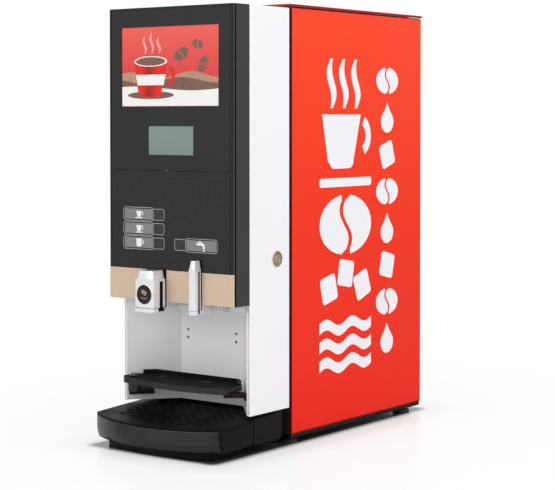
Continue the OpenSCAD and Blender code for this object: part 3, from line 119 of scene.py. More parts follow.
class DispenserColours(bpy.types.PropertyGroup):
    """Colours of the finishes"""
    red: bpy.props.FloatVectorProperty(
        name="Cabinet red", description="Paint of the side panels and the lid", subtype="COLOR", size=3,
        default=(0.86, 0.050, 0.024))
    white: bpy.props.FloatVectorProperty(
        name="Door white", description="Paint of the door shell", subtype="COLOR", size=3,
        default=(0.88, 0.88, 0.885))
    charcoal: bpy.props.FloatVectorProperty(
        name="Housing charcoal", description="Moulding of the front housing", subtype="COLOR", size=3,
        default=(0.0305, 0.0305, 0.0325))
    panel: bpy.props.FloatVectorProperty(
        name="Panel charcoal", description="Front panels", subtype="COLOR", size=3,
        default=(0.0170, 0.0170, 0.0181))
    beige: bpy.props.FloatVectorProperty(
        name="Strip beige", description="Trim strip over the outlets", subtype="COLOR", size=3,
        default=(0.60, 0.46, 0.32))
    liner: bpy.props.FloatVectorProperty(
        name="Bay grey", description="Lining of the cup bay", subtype="COLOR", size=3,
        default=(0.84, 0.84, 0.835))
    black: bpy.props.FloatVectorProperty(
        name="Tray black", description="Tray, grille, shelf and base", subtype="COLOR", size=3,
        default=(0.0062, 0.0062, 0.0068))
    motif: bpy.props.FloatVectorProperty(
        name="Motif white", description="Vinyl motifs on the right side", subtype="COLOR", size=3,
        default=(0.87, 0.87, 0.89))
    print_red: bpy.props.FloatVectorProperty(
        name="Print red", description="Ground of the picture", subtype="COLOR", size=3,
        default=(0.66, 0.040, 0.044))
    print_cream: bpy.props.FloatVectorProperty(
        name="Print cream", description="Light wave of the picture", subtype="COLOR", size=3,
        default=(0.84, 0.82, 0.79))
    print_brown: bpy.props.FloatVectorProperty(
        name="Print brown", description="Chocolate in the picture", subtype="COLOR", size=3,
        default=(0.16, 0.065, 0.035))
    display: bpy.props.FloatVectorProperty(
        name="Display", description="Unlit display", subtype="COLOR", size=3, default=(0.170, 0.226, 0.210))
    label: bpy.props.FloatVectorProperty(
        name="Label grey", description="Films beside the keys", subtype="COLOR", size=3,
        default=(0.190, 0.190, 0.192))


def sizes():
    return bpy.context.scene.dispenser_sizes


def colours():
    return bpy.context.scene.dispenser_colours


# Node groups: effects that several finishes share

def put(tree, kind, inputs=None, **settings):
    """Adds a node. Each input is given a plain value or another node's output."""
    node = tree.nodes.new(kind)
    for key, value in settings.items():
        setattr(node, key, value)
    for key, value in (inputs or {}).items():
        if isinstance(value, bpy.types.NodeSocket):
            tree.links.new(value, node.inputs[key])
        else:
            node.inputs[key].default_value = value
    return node


def noise(tree, vector, scale, detail=2.0, roughness=0.5, distortion=0.0):
    inputs = {"Vector": vector, "Scale": scale, "Detail": detail, "Roughness": roughness,
              "Distortion": distortion}
    return put(tree, "ShaderNodeTexNoise", inputs).outputs["Fac"]


def spread(tree, value, low, high, start=0.3, end=0.7):
    """Stretches what lies between start and end to run from low to high."""
    inputs = {"Value": value, "From Min": start, "From Max": end, "To Min": low, "To Max": high}
    return put(tree, "ShaderNodeMapRange", inputs).outputs["Result"]


def maths(tree, operation, a, b=0.0):
    return put(tree, "ShaderNodeMath", {0: a, 1: b}, operation=operation).outputs[0]


def added(tree, a, b):
    return maths(tree, "ADD", a, b)


def multiplied(tree, a, b):
    return maths(tree, "MULTIPLY", a, b)


def stretched(tree, vector, factors):
    return put(tree, "ShaderNodeVectorMath", {0: vector, 1: factors}, operation="MULTIPLY").outputs[0]


def along(tree, vector, axis):
    return put(tree, "ShaderNodeSeparateXYZ", {0: vector}).outputs[axis]


def blended(tree, factor, a, b):
    return put(tree, "ShaderNodeMix", {0: factor, 6: a, 7: b}, data_type="RGBA", blend_type="MIX").outputs[2]


def group_tree(name, inputs, outputs):
    """A new node group: its tree, the values given to it and the values that it puts out."""
    tree = bpy.data.node_groups.new(name, "ShaderNodeTree")
    for label, kind, default in inputs:
        socket = tree.interface.new_socket(label, in_out="INPUT", socket_type="NodeSocket" + kind)
        if default is not None:
            socket.default_value = default
    for label, kind in outputs:
        tree.interface.new_socket(label, in_out="OUTPUT", socket_type="NodeSocket" + kind)
    return tree, tree.nodes.new("NodeGroupInput").outputs, tree.nodes.new("NodeGroupOutput").inputs


SKIN_INPUTS = [("Vector", "Vector", None), ("Colour", "Color", (0.5, 0.5, 0.5, 1)), ("Tone", "Float", 0.04),
               ("Roughness", "Float", 0.4), ("Unevenness", "Float", 0.08), ("Scale", "Float", 400.0)]
SKIN_OUTPUTS = [("Colour", "Color"), ("Roughness", "Float"), ("Height", "Float")]
MASK_OUTPUTS = [("Mask", "Float")]


def toned(tree, given, cloud):
    """Colour a little lighter and darker with the cloud value, by the given Tone."""
    value = spread(tree, cloud, maths(tree, "SUBTRACT", 1.0, given["Tone"]), added(tree, 1.0, given["Tone"]))
    return put(tree, "ShaderNodeHueSaturation", {"Color": given["Colour"], "Value": value}).outputs["Color"]


def uneven(tree, given, cloud):
    """Roughness a little higher and lower with the cloud value, by the given Unevenness."""
    half = multiplied(tree, given["Unevenness"], spread(tree, cloud, -1.0, 1.0))
    return added(tree, given["Roughness"], half)


def paint_skin():
    """Sprayed or powder-coated sheet: orange peel, slow drift of tone, faint wiping marks."""
    tree, given, out = group_tree("Paint skin", SKIN_INPUTS, SKIN_OUTPUTS)
    v = given["Vector"]
    tree.links.new(toned(tree, given, noise(tree, v, 5.0, 3.0)), out["Colour"])
    wiped = stretched(tree, v, (14.0, 14.0, 3.0))
    tree.links.new(uneven(tree, given, noise(tree, wiped, 2.0, 4.0, 0.6)), out["Roughness"])
    tree.links.new(noise(tree, v, given["Scale"], 1.0), out["Height"])
    return tree


def moulded_grain():
    """Spark-eroded texture of moulded plastic."""
    tree, given, out = group_tree("Moulded grain", SKIN_INPUTS, SKIN_OUTPUTS)
    v = given["Vector"]
    cells = put(tree, "ShaderNodeTexVoronoi", {"Vector": v, "Scale": given["Scale"]}, feature="SMOOTH_F1")
    pits = cells.outputs["Distance"]
    fine = noise(tree, v, given["Scale"], 3.0)
    tree.links.new(added(tree, pits, fine), out["Height"])
    cloud = added(tree, multiplied(tree, noise(tree, v, 9.0, 3.0), 0.7), multiplied(tree, pits, 0.4))
    tree.links.new(toned(tree, given, cloud), out["Colour"])
    tree.links.new(uneven(tree, given, noise(tree, v, 28.0, 4.0, 0.65)), out["Roughness"])
    return tree


def drawn_metal():
    """Fine lines left by rolling or brushing, along Z."""
    tree, given, out = group_tree("Drawn metal", SKIN_INPUTS, SKIN_OUTPUTS)
    v = given["Vector"]
    lines = noise(tree, stretched(tree, v, (1.0, 1.0, 0.03)), given["Scale"], 4.0, 0.7)
    tree.links.new(lines, out["Height"])
    tree.links.new(toned(tree, given, lines), out["Colour"])
    stains = noise(tree, v, 22.0, 3.0)
    cloud = added(tree, multiplied(tree, lines, 0.5), multiplied(tree, stains, 0.5))
    tree.links.new(uneven(tree, given, cloud), out["Roughness"])
    return tree


def mask_inputs(amount):
    return [("Vector", "Vector", None), ("Amount", "Float", amount)]


def settled_dust():
    """Where dust and dried drips lie: on faces that look up, in patches."""
    tree, given, out = group_tree("Settled dust", mask_inputs(0.2), MASK_OUTPUTS)
    up = along(tree, put(tree, "ShaderNodeNewGeometry").outputs["Normal"], "Z")
    facing = spread(tree, up, 0.0, 1.0, 0.6, 0.98)
    patches = spread(tree, noise(tree, given["Vector"], 60.0, 5.0, 0.7), 0.15, 1.0, 0.4, 0.7)
    tree.links.new(multiplied(tree, multiplied(tree, facing, patches), given["Amount"]), out["Mask"])
    return tree


def finger_marks():
    """Smears left by hands and cloths on glossy faces."""
    tree, given, out = group_tree("Finger marks", mask_inputs(0.1), MASK_OUTPUTS)
    warped = noise(tree, given["Vector"], 35.0, 5.0, distortion=1.2)
    tree.links.new(multiplied(tree, spread(tree, warped, 0.0, 1.0, 0.5, 0.72), given["Amount"]), out["Mask"])
    return tree


GROUP_MAKERS = {"paint": paint_skin, "grain": moulded_grain, "metal": drawn_metal, "dust": settled_dust,
                "marks": finger_marks}
GROUPS = {}


def group(name):
    """The named node group, made when it is first asked for."""
    if name not in GROUPS:
        GROUPS[name] = GROUP_MAKERS[name]()
    return GROUPS[name]


# Materials: a base with the shared effects, and one short function for each finish

DUST_COLOUR = (0.42, 0.38, 0.34, 1.0)
COAT_ROUGHNESS = 0.08


def empty_material(name):
    made = bpy.data.materials.new(name)
    made.use_nodes = True
    made.node_tree.nodes.clear()
    return made


def mask(tree, effect, vector, amount):
    """How much of an effect such as dust lies at a place."""
    values = {"Vector": vector, "Amount": amount}
    return put(tree, "ShaderNodeGroup", values, node_tree=group(effect)).outputs["Mask"]


def finish(name, colour, roughness, effect="grain", tone=0.04, uneven_by=0.06, scale=900.0, bump=0.1,
           depth=0.0001, metallic=0.0, coat=0.0, dust=0.0, marks=0.0, specular=0.5, transmission=0.0, ior=1.5,
           colour_input=None):
    """A material on Object coordinates: one skin effect, and where wanted dust and finger marks over it."""
    made = empty_material(name)
    tree = made.node_tree
    v = put(tree, "ShaderNodeTexCoord").outputs["Object"]
    given = colour_input(tree, v) if colour_input else (*colour, 1.0)
    skin_values = {"Vector": v, "Colour": given, "Tone": tone, "Roughness": roughness,
                   "Unevenness": uneven_by, "Scale": scale}
    skin = put(tree, "ShaderNodeGroup", skin_values, node_tree=group(effect))
    shown, rough = skin.outputs["Colour"], skin.outputs["Roughness"]
    if dust:
        dusty = mask(tree, "dust", v, dust)
        shown = blended(tree, dusty, shown, DUST_COLOUR)
        rough = added(tree, rough, dusty)
    if marks:
        rough = added(tree, rough, mask(tree, "marks", v, marks))
    relief_values = {"Height": skin.outputs["Height"], "Strength": bump, "Distance": depth}
    relief = put(tree, "ShaderNodeBump", relief_values).outputs["Normal"]
    surface = {"Base Color": shown, "Roughness": rough, "Normal": relief, "Metallic": metallic,
               "Coat Weight": coat, "Coat Roughness": COAT_ROUGHNESS, "Specular IOR Level": specular,
               "IOR": ior, "Transmission Weight": transmission}
    shader = put(tree, "ShaderNodeBsdfPrincipled", surface)
    put(tree, "ShaderNodeOutputMaterial", {"Surface": shader.outputs["BSDF"]})
    return made


def ink(name, colour, tone, scale=1500):
    """A glossy printed colour."""
    return finish(name, colour, 0.3, tone=tone, uneven_by=0.04, scale=scale, bump=0.03, depth=0.00004,
                  coat=0.3)


def glow_upwards(low, high, start, end):
    """A colour that changes with height, between start and end."""
    def colour(tree, v):
        share = spread(tree, along(tree, v, "Z"), 0.0, 1.0, start, end)
        return blended(tree, share, (*low, 1.0), (*high, 1.0))
    return colour


def shaded_across(edge, middle, centre, half):
    """A printed colour that darkens towards the middle of a round shape."""
    def colour(tree, v):
        off = maths(tree, "ABSOLUTE", maths(tree, "SUBTRACT", along(tree, v, "X"), centre))
        return blended(tree, spread(tree, off, 1.0, 0.0, 0.0, half), (*edge, 1.0), (*middle, 1.0))
    return colour


def times(colour, *factors):
    """A colour with its channels multiplied by one factor, or by one each."""
    each = factors if len(factors) == 3 else factors * 3
    return tuple(channel * factor for channel, factor in zip(colour, each))


FINISH_MAKERS = {}
FINISHES = {}


def listed(maker):
    """Lists a finish under its function's name."""
    FINISH_MAKERS[maker.__name__] = maker
    return maker


def material(name):
    """The named finish, made when it is first asked for."""
    if name not in FINISHES:
        FINISHES[name] = FINISH_MAKERS[name](colours())
    return FINISHES[name]


@listed
def red_paint(c):
    """The sides are painted a little darker towards the table and paler towards the top, as painted shade and
    painted light.
    """
    low, high = times(c.red, 0.97, 0.36, 0.2), times(c.red, 1.09, 1.35, 1.1)
    return finish("Red powder coat", c.red, 0.26, effect="paint", tone=0.008, uneven_by=0.006, scale=420,
                  bump=0.010, depth=0.00008, specular=0.13, colour_input=glow_upwards(low, high, 0.06, 0.66))


@listed
def lid_painted_shade(c):
    # the cabinet red darkened as painted shade on the lid
    return finish("Red lid coat in painted shade", times(c.red, 0.36, 0.30, 0.5), 0.34, effect="paint", tone=0.03,
                  uneven_by=0.03, scale=420, bump=0.03, depth=0.00008, specular=0.13)


@listed
def white_paint(c):
    return finish("White satin paint", c.white, 0.38, effect="paint", tone=0.012, uneven_by=0.05,
                  scale=500, bump=0.06, marks=0.05, specular=0.4)


@listed
def black_paint(c):
    return finish("Black frame paint", (0.018, 0.018, 0.019), 0.42, effect="paint", tone=0.10,
                  uneven_by=0.08, scale=500, bump=0.2, dust=0.05)


@listed
def pan_painted_shade(c):
    # black paint darkened further as painted shade on the pan under the cabinet
    return finish("Black pan coat in painted shade", (0.0045, 0.0045, 0.0048), 0.45, effect="paint", tone=0.10,
                  uneven_by=0.08, scale=500, bump=0.2, dust=0.01, specular=0.12)


@listed
def grey_paint(c):
    return finish("Grey rear coat", (0.17, 0.17, 0.175), 0.48, effect="paint", tone=0.06, uneven_by=0.07,
                  scale=450, bump=0.25, dust=0.08)


@listed
def steel(c):
    return finish("Rolled sheet steel", (0.56, 0.57, 0.58), 0.36, effect="metal", tone=0.08,
                  uneven_by=0.12, scale=260, bump=0.15, depth=0.00005, metallic=1.0, marks=0.1)


@listed
def screw(c):
    return finish("Plated screw", (0.62, 0.62, 0.60), 0.3, effect="metal", tone=0.1, uneven_by=0.1,
                  bump=0.15, depth=0.00003, metallic=1.0, dust=0.08)


@listed
def rubber(c):
    return finish("Foot rubber", (0.016, 0.016, 0.016), 0.72, tone=0.15, uneven_by=0.1, scale=700,
                  bump=0.35, dust=0.15)


@listed
def black(c):
    return finish("Black moulding", c.black, 0.15, tone=0.08, uneven_by=0.03, scale=850, bump=0.02,
                  marks=0.02, specular=0.34)


@listed
def black_top_painted_shade(c):
    # a textured matt top, whose colour is also darkened as painted shade on the upward faces
    return finish("Black textured top in painted shade", times(c.black, 0.8), 0.6, tone=0.12, uneven_by=0.08, scale=700,
                  bump=0.2, dust=0.004, specular=0.02)


@listed
def black_edge_highlight(c):
    # the tray's black made paler as a painted highlight on rounded edges
    return finish("Black edge with painted highlight", times(c.black, 5.0), 0.3, tone=0.12, scale=850, bump=0.05,
                  specular=0.3)


@listed
def base(c):
    # the tray's black darkened as painted shade under and beside the tray
    return finish("Black base in painted shade", times(c.black, 0.3), 0.4, tone=0.1, uneven_by=0.05, scale=850,
                  dust=0.002, specular=0.10)


@listed
def grille(c):
    return finish("Grille moulding", times(c.black, 0.5), 0.5, tone=0.15, uneven_by=0.08, scale=700,
                  bump=0.12, marks=0.08, specular=0.05)


@listed
def charcoal(c):
    return finish("Charcoal moulding", c.charcoal, 0.50, tone=0.05, uneven_by=0.05, scale=1000, bump=0.16,
                  dust=0.02, specular=0.25)


@listed
def panel(c):
    return finish("Charcoal front panel", c.panel, 0.46, uneven_by=0.05, scale=1300, bump=0.08,
                  depth=0.00008, marks=0.06, specular=0.2)


@listed
def panel_edge_highlight(c):
    # the panel charcoal made paler as a painted highlight
    return finish("Panel edge with painted highlight", times(c.panel, 6.0), 0.4, tone=0.06, uneven_by=0.05, scale=1300,
                  bump=0.06, depth=0.00008, specular=0.4)


@listed
def line_art(c):
    return finish("Faint print", times(c.panel, 1.22), 0.42, tone=0.05, uneven_by=0.05, scale=1300,
                  bump=0.08, depth=0.00008, specular=0.2)


@listed
def beige(c):
    return finish("Beige strip", c.beige, 0.45, tone=0.03, uneven_by=0.05, scale=1100, bump=0.12,
                  depth=0.00008, marks=0.05)


@listed
def liner(c):
    return finish("Grey bay coat", c.liner, 0.42, effect="paint", tone=0.02, scale=500, marks=0.08)


@listed
def carrier(c):
    return finish("Pale carrier", (0.66, 0.66, 0.67), 0.3, tone=0.03, scale=800, marks=0.08)


@listed
def chrome(c):
    return finish("Chromed moulding", (0.79, 0.79, 0.80), 0.14, effect="metal", tone=0.010,
                  uneven_by=0.03, scale=90, bump=0.008, depth=0.00004, metallic=0.65, marks=0.05)


@listed
def chrome_side_painted_reflection(c):
    # paler and less metallic than the chrome, as a painted reflection on faces turned to the right
    return finish("Chromed side with painted reflection", (0.86, 0.86, 0.865), 0.18, effect="metal", tone=0.010, uneven_by=0.03,
                  scale=90, bump=0.008, depth=0.00004, metallic=0.2, marks=0.05)


@listed
def brass(c):
    return finish("Nickelled brass", (0.62, 0.47, 0.28), 0.24, effect="metal", tone=0.08, uneven_by=0.08,
                  scale=500, bump=0.12, depth=0.00004, metallic=1.0, marks=0.1)


@listed
def lock_face(c):
    return finish("Lock face", (0.70, 0.66, 0.60), 0.2, effect="metal", tone=0.08, uneven_by=0.08,
                  scale=700, bump=0.15, depth=0.00004, metallic=1.0, marks=0.1)


@listed
def badge(c):
    return finish("Dark badge enamel", (0.012, 0.011, 0.010), 0.22, tone=0.3, uneven_by=0.05, scale=500,
                  bump=0.04, depth=0.00005, marks=0.06, specular=0.25)


@listed
def motif(c):
    return finish("White vinyl", c.motif, 0.34, effect="paint", tone=0.012, uneven_by=0.05, scale=600,
                  bump=0.06, depth=0.00008, marks=0.05)


@listed
def label(c):
    return finish("Grey label film", c.label, 0.34, tone=0.05, uneven_by=0.05, scale=1200, bump=0.06,
                  depth=0.00005, coat=0.2, marks=0.08)


@listed
def icon(c):
    return finish("White label print", (0.80, 0.80, 0.80), 0.4, tone=0.03, uneven_by=0.05, scale=1400,
                  bump=0.04, depth=0.00004)


@listed
def outline(c):
    return finish("Pale outline print", (0.46, 0.46, 0.46), 0.42, tone=0.06, uneven_by=0.05, scale=1400,
                  bump=0.04, depth=0.00004)


@listed
def key(c):
    return finish("Soft key", (0.026, 0.026, 0.028), 0.5, tone=0.1, scale=1100, bump=0.16, depth=0.00008,
                  marks=0.1, specular=0.3)


@listed
def display(c):
    """Unlit, and a little paler towards its top as a painted reflection."""
    low, high = times(c.display, 0.94), times(c.display, 1.06)
    return finish("Display", c.display, 0.16, tone=0.02, uneven_by=0.04, scale=2600, bump=0.02, depth=0.00003,
                  coat=0.5, marks=0.08, colour_input=glow_upwards(low, high, 0.445, 0.490))


@listed
def print_red(c):
    """The ground of the picture glows towards its top."""
    glow = glow_upwards(c.print_red, (0.80, 0.105, 0.075), 0.56, 0.64)
    return finish("Printed red ground", c.print_red, 0.3, tone=0.03, uneven_by=0.04, scale=1500, bump=0.03,
                  depth=0.00004, coat=0.05, specular=0.3, colour_input=glow)


@listed
def print_cream(c):
    return ink("Printed cream", c.print_cream, 0.02)


@listed
def print_brown(c):
    return ink("Printed brown", c.print_brown, 0.25, 260)


@listed
def print_tan(c):
    return ink("Printed tan", (0.42, 0.23, 0.14), 0.2, 200)


@listed
def print_mug(c):
    """The mug is shaded round its middle."""
    bright, dark = (0.74, 0.022, 0.012), (0.30, 0.014, 0.012)
    return finish("Printed mug red", bright, 0.36, tone=0.03, uneven_by=0.04, scale=1500, bump=0.03,
                  depth=0.00004, specular=0.2, colour_input=shaded_across(bright, dark, -0.040, 0.016))


@listed
def print_pink(c):
    return ink("Printed steam", (0.80, 0.33, 0.30), 0.04)


@listed
def slot_black(c):
    return finish("Slot black", (0.004, 0.004, 0.004), 0.55, tone=0.1, uneven_by=0.05, specular=0.06)


@listed
def bracket(c):
    return finish("Brown bracket moulding", (0.020, 0.0075, 0.006), 0.4, tone=0.1, scale=850,
                  specular=0.12)


@listed
def board(c):
    return finish("Circuit board", (0.012, 0.085, 0.035), 0.38, tone=0.2, uneven_by=0.08, scale=400,
                  bump=0.15, coat=0.2, dust=0.05)


@listed
def clear(c):
    return finish("Clear canister", (0.86, 0.88, 0.90), 0.10, tone=0.02, uneven_by=0.04, scale=300,
                  bump=0.02, transmission=0.9, ior=1.49)


@listed
def white_plastic(c):
    return finish("White engineering plastic", (0.74, 0.74, 0.71), 0.4, tone=0.03, bump=0.12, dust=0.06)


@listed
def brown_plastic(c):
    return finish("Brown lid", (0.085, 0.035, 0.018), 0.36, tone=0.08, bump=0.14, dust=0.08)


@listed
def motor(c):
    return finish("Motor housing", (0.09, 0.10, 0.11), 0.42, effect="paint", tone=0.08, uneven_by=0.08,
                  scale=500, bump=0.2, dust=0.06)


@listed
def silicone(c):
    return finish("Silicone hose", (0.62, 0.63, 0.62), 0.46, tone=0.05, scale=500, bump=0.08)


@listed
def boiler(c):
    return finish("Boiler steel", (0.60, 0.60, 0.60), 0.28, effect="metal", tone=0.1, uneven_by=0.12,
                  scale=180, bump=0.2, depth=0.00005, metallic=1.0)


@listed
def switch(c):
    return finish("Switch red", (0.50, 0.02, 0.015), 0.26, tone=0.05, uneven_by=0.05, bump=0.08, coat=0.3)


# Modelling helpers

def rest():
    """Deselects everything."""
    bpy.ops.object.select_all(action="DESELECT")


def active(piece):
    """Selects one piece alone."""
    rest()
    bpy.context.view_layer.objects.active = piece
    piece.select_set(True)


@contextlib.contextmanager
def editing(piece):
    active(piece)
    bpy.ops.object.mode_set(mode="EDIT")
    bpy.ops.mesh.select_mode(type="FACE")
    yield piece
    bpy.ops.object.mode_set(mode="OBJECT")


def select_faces(piece, wanted):
    """In edit mode: selects the faces whose centre and normal pass."""
    mesh = bmesh.from_edit_mesh(piece.data)
    bpy.ops.mesh.select_all(action="DESELECT")
    mesh.normal_update()
    for face in mesh.faces:
        face.select_set(bool(wanted(face.calc_center_median(), face.normal)))
    mesh.select_flush(True)
    bmesh.update_edit_mesh(piece.data)


def placed(name):
    """Names the new primitive and puts its place into its mesh."""
    piece = bpy.context.object
    piece.name = name
    active(piece)
    bpy.ops.object.transform_apply(location=True, rotation=True, scale=True)
    return piece


def block(name, low, high):
    rest()
    bpy.ops.mesh.primitive_cube_add(size=1, location=(low + high) / 2, scale=high - low)
    return placed(name)


def rod(name, start, end, radius, sides=48):
    rest()
    axis = end - start
    turn = axis.to_track_quat("Z", "Y").to_euler()
    bpy.ops.mesh.primitive_cylinder_add(vertices=sides, radius=radius, depth=axis.length,
                                        location=(start + end) / 2, rotation=turn)
    return placed(name)


def sketch(name, points):
    """A flat face, drawn from point to point."""
    rest()
    bpy.ops.mesh.primitive_plane_add(size=0.001, location=points[0])
    piece = placed(name)
    with editing(piece):
        bpy.ops.mesh.select_mode(type="VERT")
        bpy.ops.mesh.select_all(action="SELECT")
        bpy.ops.mesh.merge(type="CENTER")
        for a, b in zip(points, points[1:]):
            bpy.ops.mesh.extrude_vertices_move(TRANSFORM_OT_translate={"value": b - a})
        bpy.ops.mesh.select_all(action="SELECT")
        bpy.ops.mesh.edge_face_add()
    return piece


def faces_outwards():
    """In edit mode: turns all faces outwards."""
    bpy.ops.mesh.select_all(action="SELECT")
    bpy.ops.mesh.normals_make_consistent(inside=False)


def thicken(piece, out):
    """Gives a flat face a thickness, and turns all faces outwards."""
    with editing(piece):
        bpy.ops.mesh.select_all(action="SELECT")
        bpy.ops.mesh.extrude_region_move(TRANSFORM_OT_translate={"value": out})
        faces_outwards()
    return piece


class Surface:
    """A flat place on the machine: an origin and its right and up directions, with lengths in millimetres."""

    def __init__(self, origin, right, up):
        self.origin, self.right, self.up = origin, Vector(right).normalized(), Vector(up).normalized()
        self.out = self.right.cross(self.up)

    def point(self, u, v, lift=0.0):
        return self.origin + self.right * (u / 1000) + self.up * (v / 1000) + self.out * (lift / 1000)

    def moved(self, u, v):
        return Surface(self.point(u, v), self.right, self.up)


def film(name, surface, outline, thickness, lift=0.0, hollow=None):
    """A thin printed or cut shape on a surface; hollow leaves only a rim of that width."""
    piece = sketch(name, [surface.point(u, v, lift) for u, v in outline])
    if hollow:
        with editing(piece):
            bpy.ops.mesh.select_all(action="SELECT")
            bpy.ops.mesh.inset(thickness=hollow / 1000)
            bpy.ops.mesh.delete(type="FACE")
    return thicken(piece, surface.out * (thickness / 1000))


def joined(name, pieces):
    rest()
    for piece in pieces:
        piece.select_set(True)
    bpy.context.view_layer.objects.active = pieces[0]
    if len(pieces) > 1:
        bpy.ops.object.join()
    pieces[0].name = name
    return pieces[0]


def softened(piece, width, segments=2, angle=30.0):
    """Rounds the edges sharper than the angle and shades smooth. With no width the edges stay as they are."""
    active(piece)
    if width:
        bevel = piece.modifiers.new("Edge", "BEVEL")
        bevel.width, bevel.segments, bevel.limit_method = width, segments, "ANGLE"
        bevel.angle_limit, bevel.harden_normals = math.radians(angle), True
        bevel.use_clamp_overlap = True
        bpy.ops.object.shade_smooth()
        bpy.ops.object.modifier_apply(modifier=bevel.name)
    else:
        bpy.ops.object.shade_smooth_by_angle(angle=math.radians(angle))
    return piece


def cut(piece, tool):
    """Takes one solid out of another."""
    active(piece)
    boolean = piece.modifiers.new("Cut", "BOOLEAN")
    boolean.object, boolean.operation, boolean.solver = tool, "DIFFERENCE", "EXACT"
    bpy.ops.object.modifier_apply(modifier=boolean.name)
    bpy.data.objects.remove(tool)


def copy_of(node, name):
    """A merged copy of a CAD node's mesh, to be worked on."""
    source = frame["nodes"][node]
    rest()
    piece = bpy.data.objects.new(name, source.data.copy())
    bpy.context.scene.collection.objects.link(piece)
    with editing(piece):
        bpy.ops.mesh.select_all(action="SELECT")
        bpy.ops.mesh.remove_doubles(threshold=0.000002)
        bpy.ops.mesh.customdata_custom_splitnormals_clear()
        bpy.ops.mesh.dissolve_limited(angle_limit=math.radians(0.6))
    return piece


def dress(piece, look, body, slot_name, *nodes):
    """Finish and body of a piece, and the CAD nodes that it stands for. The slot name is not used."""
    piece.data.materials.clear()
    piece.data.materials.append(material(look))
    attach(piece, body)
    if nodes:
        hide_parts(*nodes)
    return piece


def second_finish(piece, look, wanted):
    """Gives the faces whose centre and normal pass another finish."""
    piece.data.materials.append(material(look))
    with editing(piece):
        select_faces(piece, wanted)
        piece.active_material_index = len(piece.data.materials) - 1
        bpy.ops.object.material_slot_assign()


def refined(node, look, width, segments=2, angle=30.0):
    """The CAD node with rounded edges and its finish."""
    piece = softened(copy_of(node, node + "_finish"), width, segments, angle)
    return dress(piece, look, BODY_OF[node], SLOT_OF[node], node)


def carried(node, look):
    """A CAD node that keeps its mesh and takes a finish."""
    mesh = frame["nodes"][node].data
    mesh.materials.clear()
    mesh.materials.append(material(look))


# Outlines in millimetres

def arc(cx, cy, r, start, end, steps=10, squash=1.0):
    points = []
    for i in range(steps + 1):
        angle = math.radians(start + (end - start) * i / steps)
        points.append((cx + r * math.cos(angle), cy + r * squash * math.sin(angle)))
    return points


def oval(cx, cy, r, squash):
    """A flattened circle that is closed by its last side."""
    return arc(cx, cy, r, 0, 360, 35, squash)[:-1]


def rounded_box(x0, y0, x1, y1, r, steps=4):
    return (arc(x1 - r, y0 + r, r, -90, 0, steps) + arc(x1 - r, y1 - r, r, 0, 90, steps)
            + arc(x0 + r, y1 - r, r, 90, 180, steps) + arc(x0 + r, y0 + r, r, 180, 270, steps))


def chamfered(w, h, c):
    """A box around (0, 0) with its corners cut off."""
    x, y = w / 2, h / 2
    right = [(x - c, -y), (x, -y + c), (x, y - c), (x - c, y)]
    left = [(-x + c, y), (-x, y - c), (-x, -y + c)]
    return [(-x + c, -y), *right, *left]


def turned(points, degrees):
    """Points turned about (0, 0)."""
    c, s = math.cos(math.radians(degrees)), math.sin(math.radians(degrees))
    return [(x * c - y * s, x * s + y * c) for x, y in points]


def scaled(points, k, dx=0.0, dy=0.0):
    """Points scaled about (0, 0), then shifted."""
    return [(dx + x * k, dy + y * k) for x, y in points]


def shifted(points, dx, dy):
    return [(dx + x, dy + y) for x, y in points]


def cup_body(w, h, foot=0.62, r=0.14):
    """A cup from the side: open rim above, drawn in towards a rounded foot."""
    f, r = w * foot / 2, h * r
    left, right = arc(-f + r, r, r, 180, 270, 4), arc(f - r, r, r, 270, 360, 4)
    return [(-w / 2, h), (-f - r * 0.4, r)] + left[1:] + right + [(w / 2, h)]


def handle(x, y, r, width, start, end):
    """A cup's ear: an open ring of the given width."""
    return arc(x, y, r, start, end, 12) + arc(x, y, r - width, end, start, 12)


def ribbon(length, width, sway, turns, steps=22):
    """A wavy band that rises from (0, 0) and narrows towards both ends."""
    left, right = [], []
    for i in range(steps + 1):
        t = i / steps
        x = sway * math.sin(2 * math.pi * turns * t)
        half = width / 2 * math.sin(math.pi * min(max(t, 0.06), 0.94)) ** 0.5
        left.append((x - half, length * t))
        right.append((x + half, length * t))
    return right + left[::-1]


def wave_bar(length, width, sway, turns, steps=24):
    """A wavy bar of even width, with its middle at (0, 0)."""
    line = []
    for i in range(steps + 1):
        line.append((-length / 2 + length * i / steps, sway * math.sin(2 * math.pi * turns * i / steps)))
    return [(x, y - width / 2) for x, y in line] + [(x, y + width / 2) for x, y in line[::-1]]


def band(x0, x1, base, height, sway, turns, steps=24, phase=0.0):
    """A wave across a picture, from a base line up to a wavy top."""
    top = []
    for i in range(steps + 1):
        wave = math.sin(2 * math.pi * (turns * i / steps + phase))
        top.append((x0 + (x1 - x0) * i / steps, height + sway * wave))
    return [(x0, base), (x1, base)] + top[::-1]


def bean_halves(w, h, gap=0.07):
    """A cocoa bean: two halves with a curved groove between them."""
    wave = [(w * 0.09 * math.sin(math.pi * (2 * t / 12 - 1)), h / 2 * (1 - 2 * t / 12)) for t in range(13)]
    g = w * gap
    right = arc(0, 0, w / 2, -80, 80, 14, h / w) + [(x + g / 2, y * 0.97) for x, y in wave][1:-1]
    left = arc(0, 0, w / 2, 100, 260, 14, h / w) + [(x - g / 2, y * 0.97) for x, y in wave[::-1]][1:-1]
    return [right, left]


def drop(w, h):
    return arc(0, w / 2, w / 2, -200, 20, 14) + [(w * 0.17, h * 0.78), (0, h), (-w * 0.17, h * 0.78)]


# Pieces, one operator for each group of like pieces

